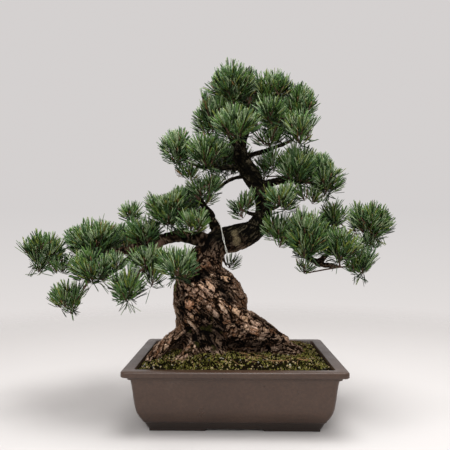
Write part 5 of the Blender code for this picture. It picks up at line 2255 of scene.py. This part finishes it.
@dataclass
class Stub:
    """The pale stub of a pruned limb, under the left bough."""

    start: Vector = field(default_factory=lambda: Vector((-0.126, -0.002, 0.324)))
    end: Vector = field(default_factory=lambda: Vector((-0.151, -0.032, 0.284)))
    half: float = 0.0070
    pale_below: float = 0.302
    steps: int = 26
    sides: int = 20
    arch: float = 0.004
    wander: float = 0.0016
    lumps: float = 0.22
    heel: float = 0.25
    flat: float = 0.86

    def build(self) -> None:
        """Builds and dresses the stub."""
        bm = bmesh.new()
        line = []
        halves = []
        for share in np.linspace(0, 1, self.steps):
            arch = UP * self.arch * math.sin(math.pi * share)
            point = self.start.lerp(self.end, share) + arch
            line.append(point + noise.noise_vector(point * 60) * self.wander)
            lump = 1 + self.lumps * noise.noise(point * 170) + self.heel * (1 - share) ** 2
            halves.append((self.half * lump, self.half * lump * self.flat))
        sweep(bm, line, halves, self.sides)
        mesh = from_bmesh(bm)
        for polygon in mesh.polygons:
            polygon.material_index = int(polygon.center.z < self.pale_below)
        pale = GrainFinish("pruned wood", (0.17, 0.105, 0.070), (0.50, 0.36, 0.28))
        finished("stub", mesh, [TwigFinish(), pale], "bough_bark")


@dataclass
class Tie:
    """The pale twisted tie that hangs from the bend of the trunk."""

    half: float = 0.00055
    spread: float = 0.0011
    winding: float = 9
    steps: int = 40
    hung_from: tuple = (Vector((-0.0355, -0.0290, 0.3590)), Vector((-0.0300, -0.0325, 0.3510)))
    hang: tuple = (
        Vector((-0.0245, -0.0330, 0.3420)),
        Vector((-0.0190, -0.0395, 0.3110)),
        Vector((-0.0085, -0.0400, 0.2760)),
    )

    def build(self) -> None:
        """Builds and dresses the tie."""
        knot, mid, end = self.hang
        lines = []
        for strand in (0, math.pi):
            points = []
            for t in np.linspace(0, 1, self.steps):
                spot = knot * (1 - t) ** 2 + mid * 2 * t * (1 - t) + end * t * t
                turn = strand + self.winding * t
                wide = self.spread * (0.35 + 0.65 * math.sin(math.pi * t))
                points.append(spot + Vector((math.cos(turn), math.sin(turn), 0)) * wide)
            lines.append((points, [self.half] * len(points)))
        lines.append(([*self.hung_from, knot], [self.half] * 3))
        finish = GrainFinish("pale tie", (0.42, 0.42, 0.38), (0.66, 0.66, 0.61), 0.55)
        finished("tie", tubes(lines, 1), [finish], "bough_bark")


@dataclass
class Studio:
    """The camera, the pale floor, the soft light and the plain backdrop."""

    eye: Vector = field(default_factory=lambda: Vector((-0.0016, -EYE_AWAY, EYE_HEIGHT)))
    image: int = 450
    focal: float = 481.0
    straight: tuple = (233.5, 241.5)
    floor_level: float = -0.0042
    floor_reach: float = 2.2
    floor_sides: int = 96
    sensor: float = 36.0
    aim: Vector = field(default_factory=lambda: Vector((0, 0, 0.25)))
    sky: tuple = (
        (0.26, (0.83, 0.79, 0.77)), (0.44, (0.72, 0.69, 0.68)), (0.56, (0.66, 0.635, 0.63)),
    )

    def camera(self) -> None:
        """The camera at the photograph's place, turned as its frame shows."""
        data = bpy.data.cameras.new("camera")
        data.sensor_width = self.sensor
        data.lens = self.sensor * self.focal / self.image
        data.clip_start = 0.01
        camera = placed("camera", data)
        left, up = (math.atan((x - self.image / 2) / self.focal) for x in self.straight)
        camera.rotation_euler = (math.pi / 2 + up, 0, left)
        camera.location = self.eye
        bpy.context.scene.camera = camera

    def floor(self) -> None:
        """A round floor whose edge fades into the backdrop."""
        bm = bmesh.new()
        bmesh.ops.create_circle(
            bm, cap_ends=True, radius=self.floor_reach, segments=self.floor_sides
        )
        bmesh.ops.translate(bm, verts=bm.verts, vec=UP * self.floor_level)
        mesh = bpy.data.meshes.new("floor")
        bm.to_mesh(mesh)
        bm.free()
        mesh.materials.append(FloorFinish().material())
        floor = placed("floor", mesh)

    def lamp(self, name: str, place: tuple, size: tuple, power: float) -> None:
        """A soft box that faces the tree.

        Args:
            name: Its name.
            place: Where it hangs.
            size: Its width and height.
            power: Its power in watts.
        """
        data = bpy.data.lights.new(name, "AREA")
        data.shape = "RECTANGLE"
        data.size, data.size_y = size
        data.energy = power
        lamp = placed(name, data)
        lamp.location = place
        way = self.aim - Vector(place)
        lamp.rotation_euler = way.to_track_quat("-Z", "Y").to_euler()

    def backdrop(self) -> None:
        """A plain pale surrounding, a little brighter below the horizon."""
        world = bpy.data.worlds.new("backdrop")
        bpy.context.scene.world = world
        world.use_nodes = True
        paint = Recipe(world.node_tree, "Generated")
        height = paint.node("SeparateXYZ", Vector=paint.place).outputs["Z"]
        level = paint.node("MapRange", Value=height, From_Min=-0.5, From_Max=0.5)
        sky = world.node_tree.nodes["Background"]
        paint.put(paint.ramp(level.outputs["Result"], self.sky), sky.inputs["Color"])
        sky.inputs["Strength"].default_value = 1.0

    def build(self) -> None:
        """Sets up the whole studio."""
        bpy.context.scene.view_settings.view_transform = "Standard"
        self.camera()
        self.floor()
        self.backdrop()
        self.lamp("overhead", (0.14, -0.20, 1.75), (1.0, 0.9), 35)
        self.lamp("front", (-0.3, -1.8, 1.2), (0.9, 0.9), 15)


def main() -> None:
    """Builds every sub-assembly in order."""
    logging.basicConfig(level=logging.INFO, format="%(name)s: %(message)s")
    noise.seed_set(NOISE_SEED)
    Studio().build()
    Pot().build()
    Soil().build()
    skeleton = Skeleton()
    Wood(skeleton).build()
    masses = grown_masses(skeleton)
    log.info("%d tufts", sum(len(mass.tufts) for mass in masses.values()))
    Twigs(masses).build()
    Foliage(masses).build()
    Stub().build()
    Tie().build()


if __name__ == "__main__":
    main()
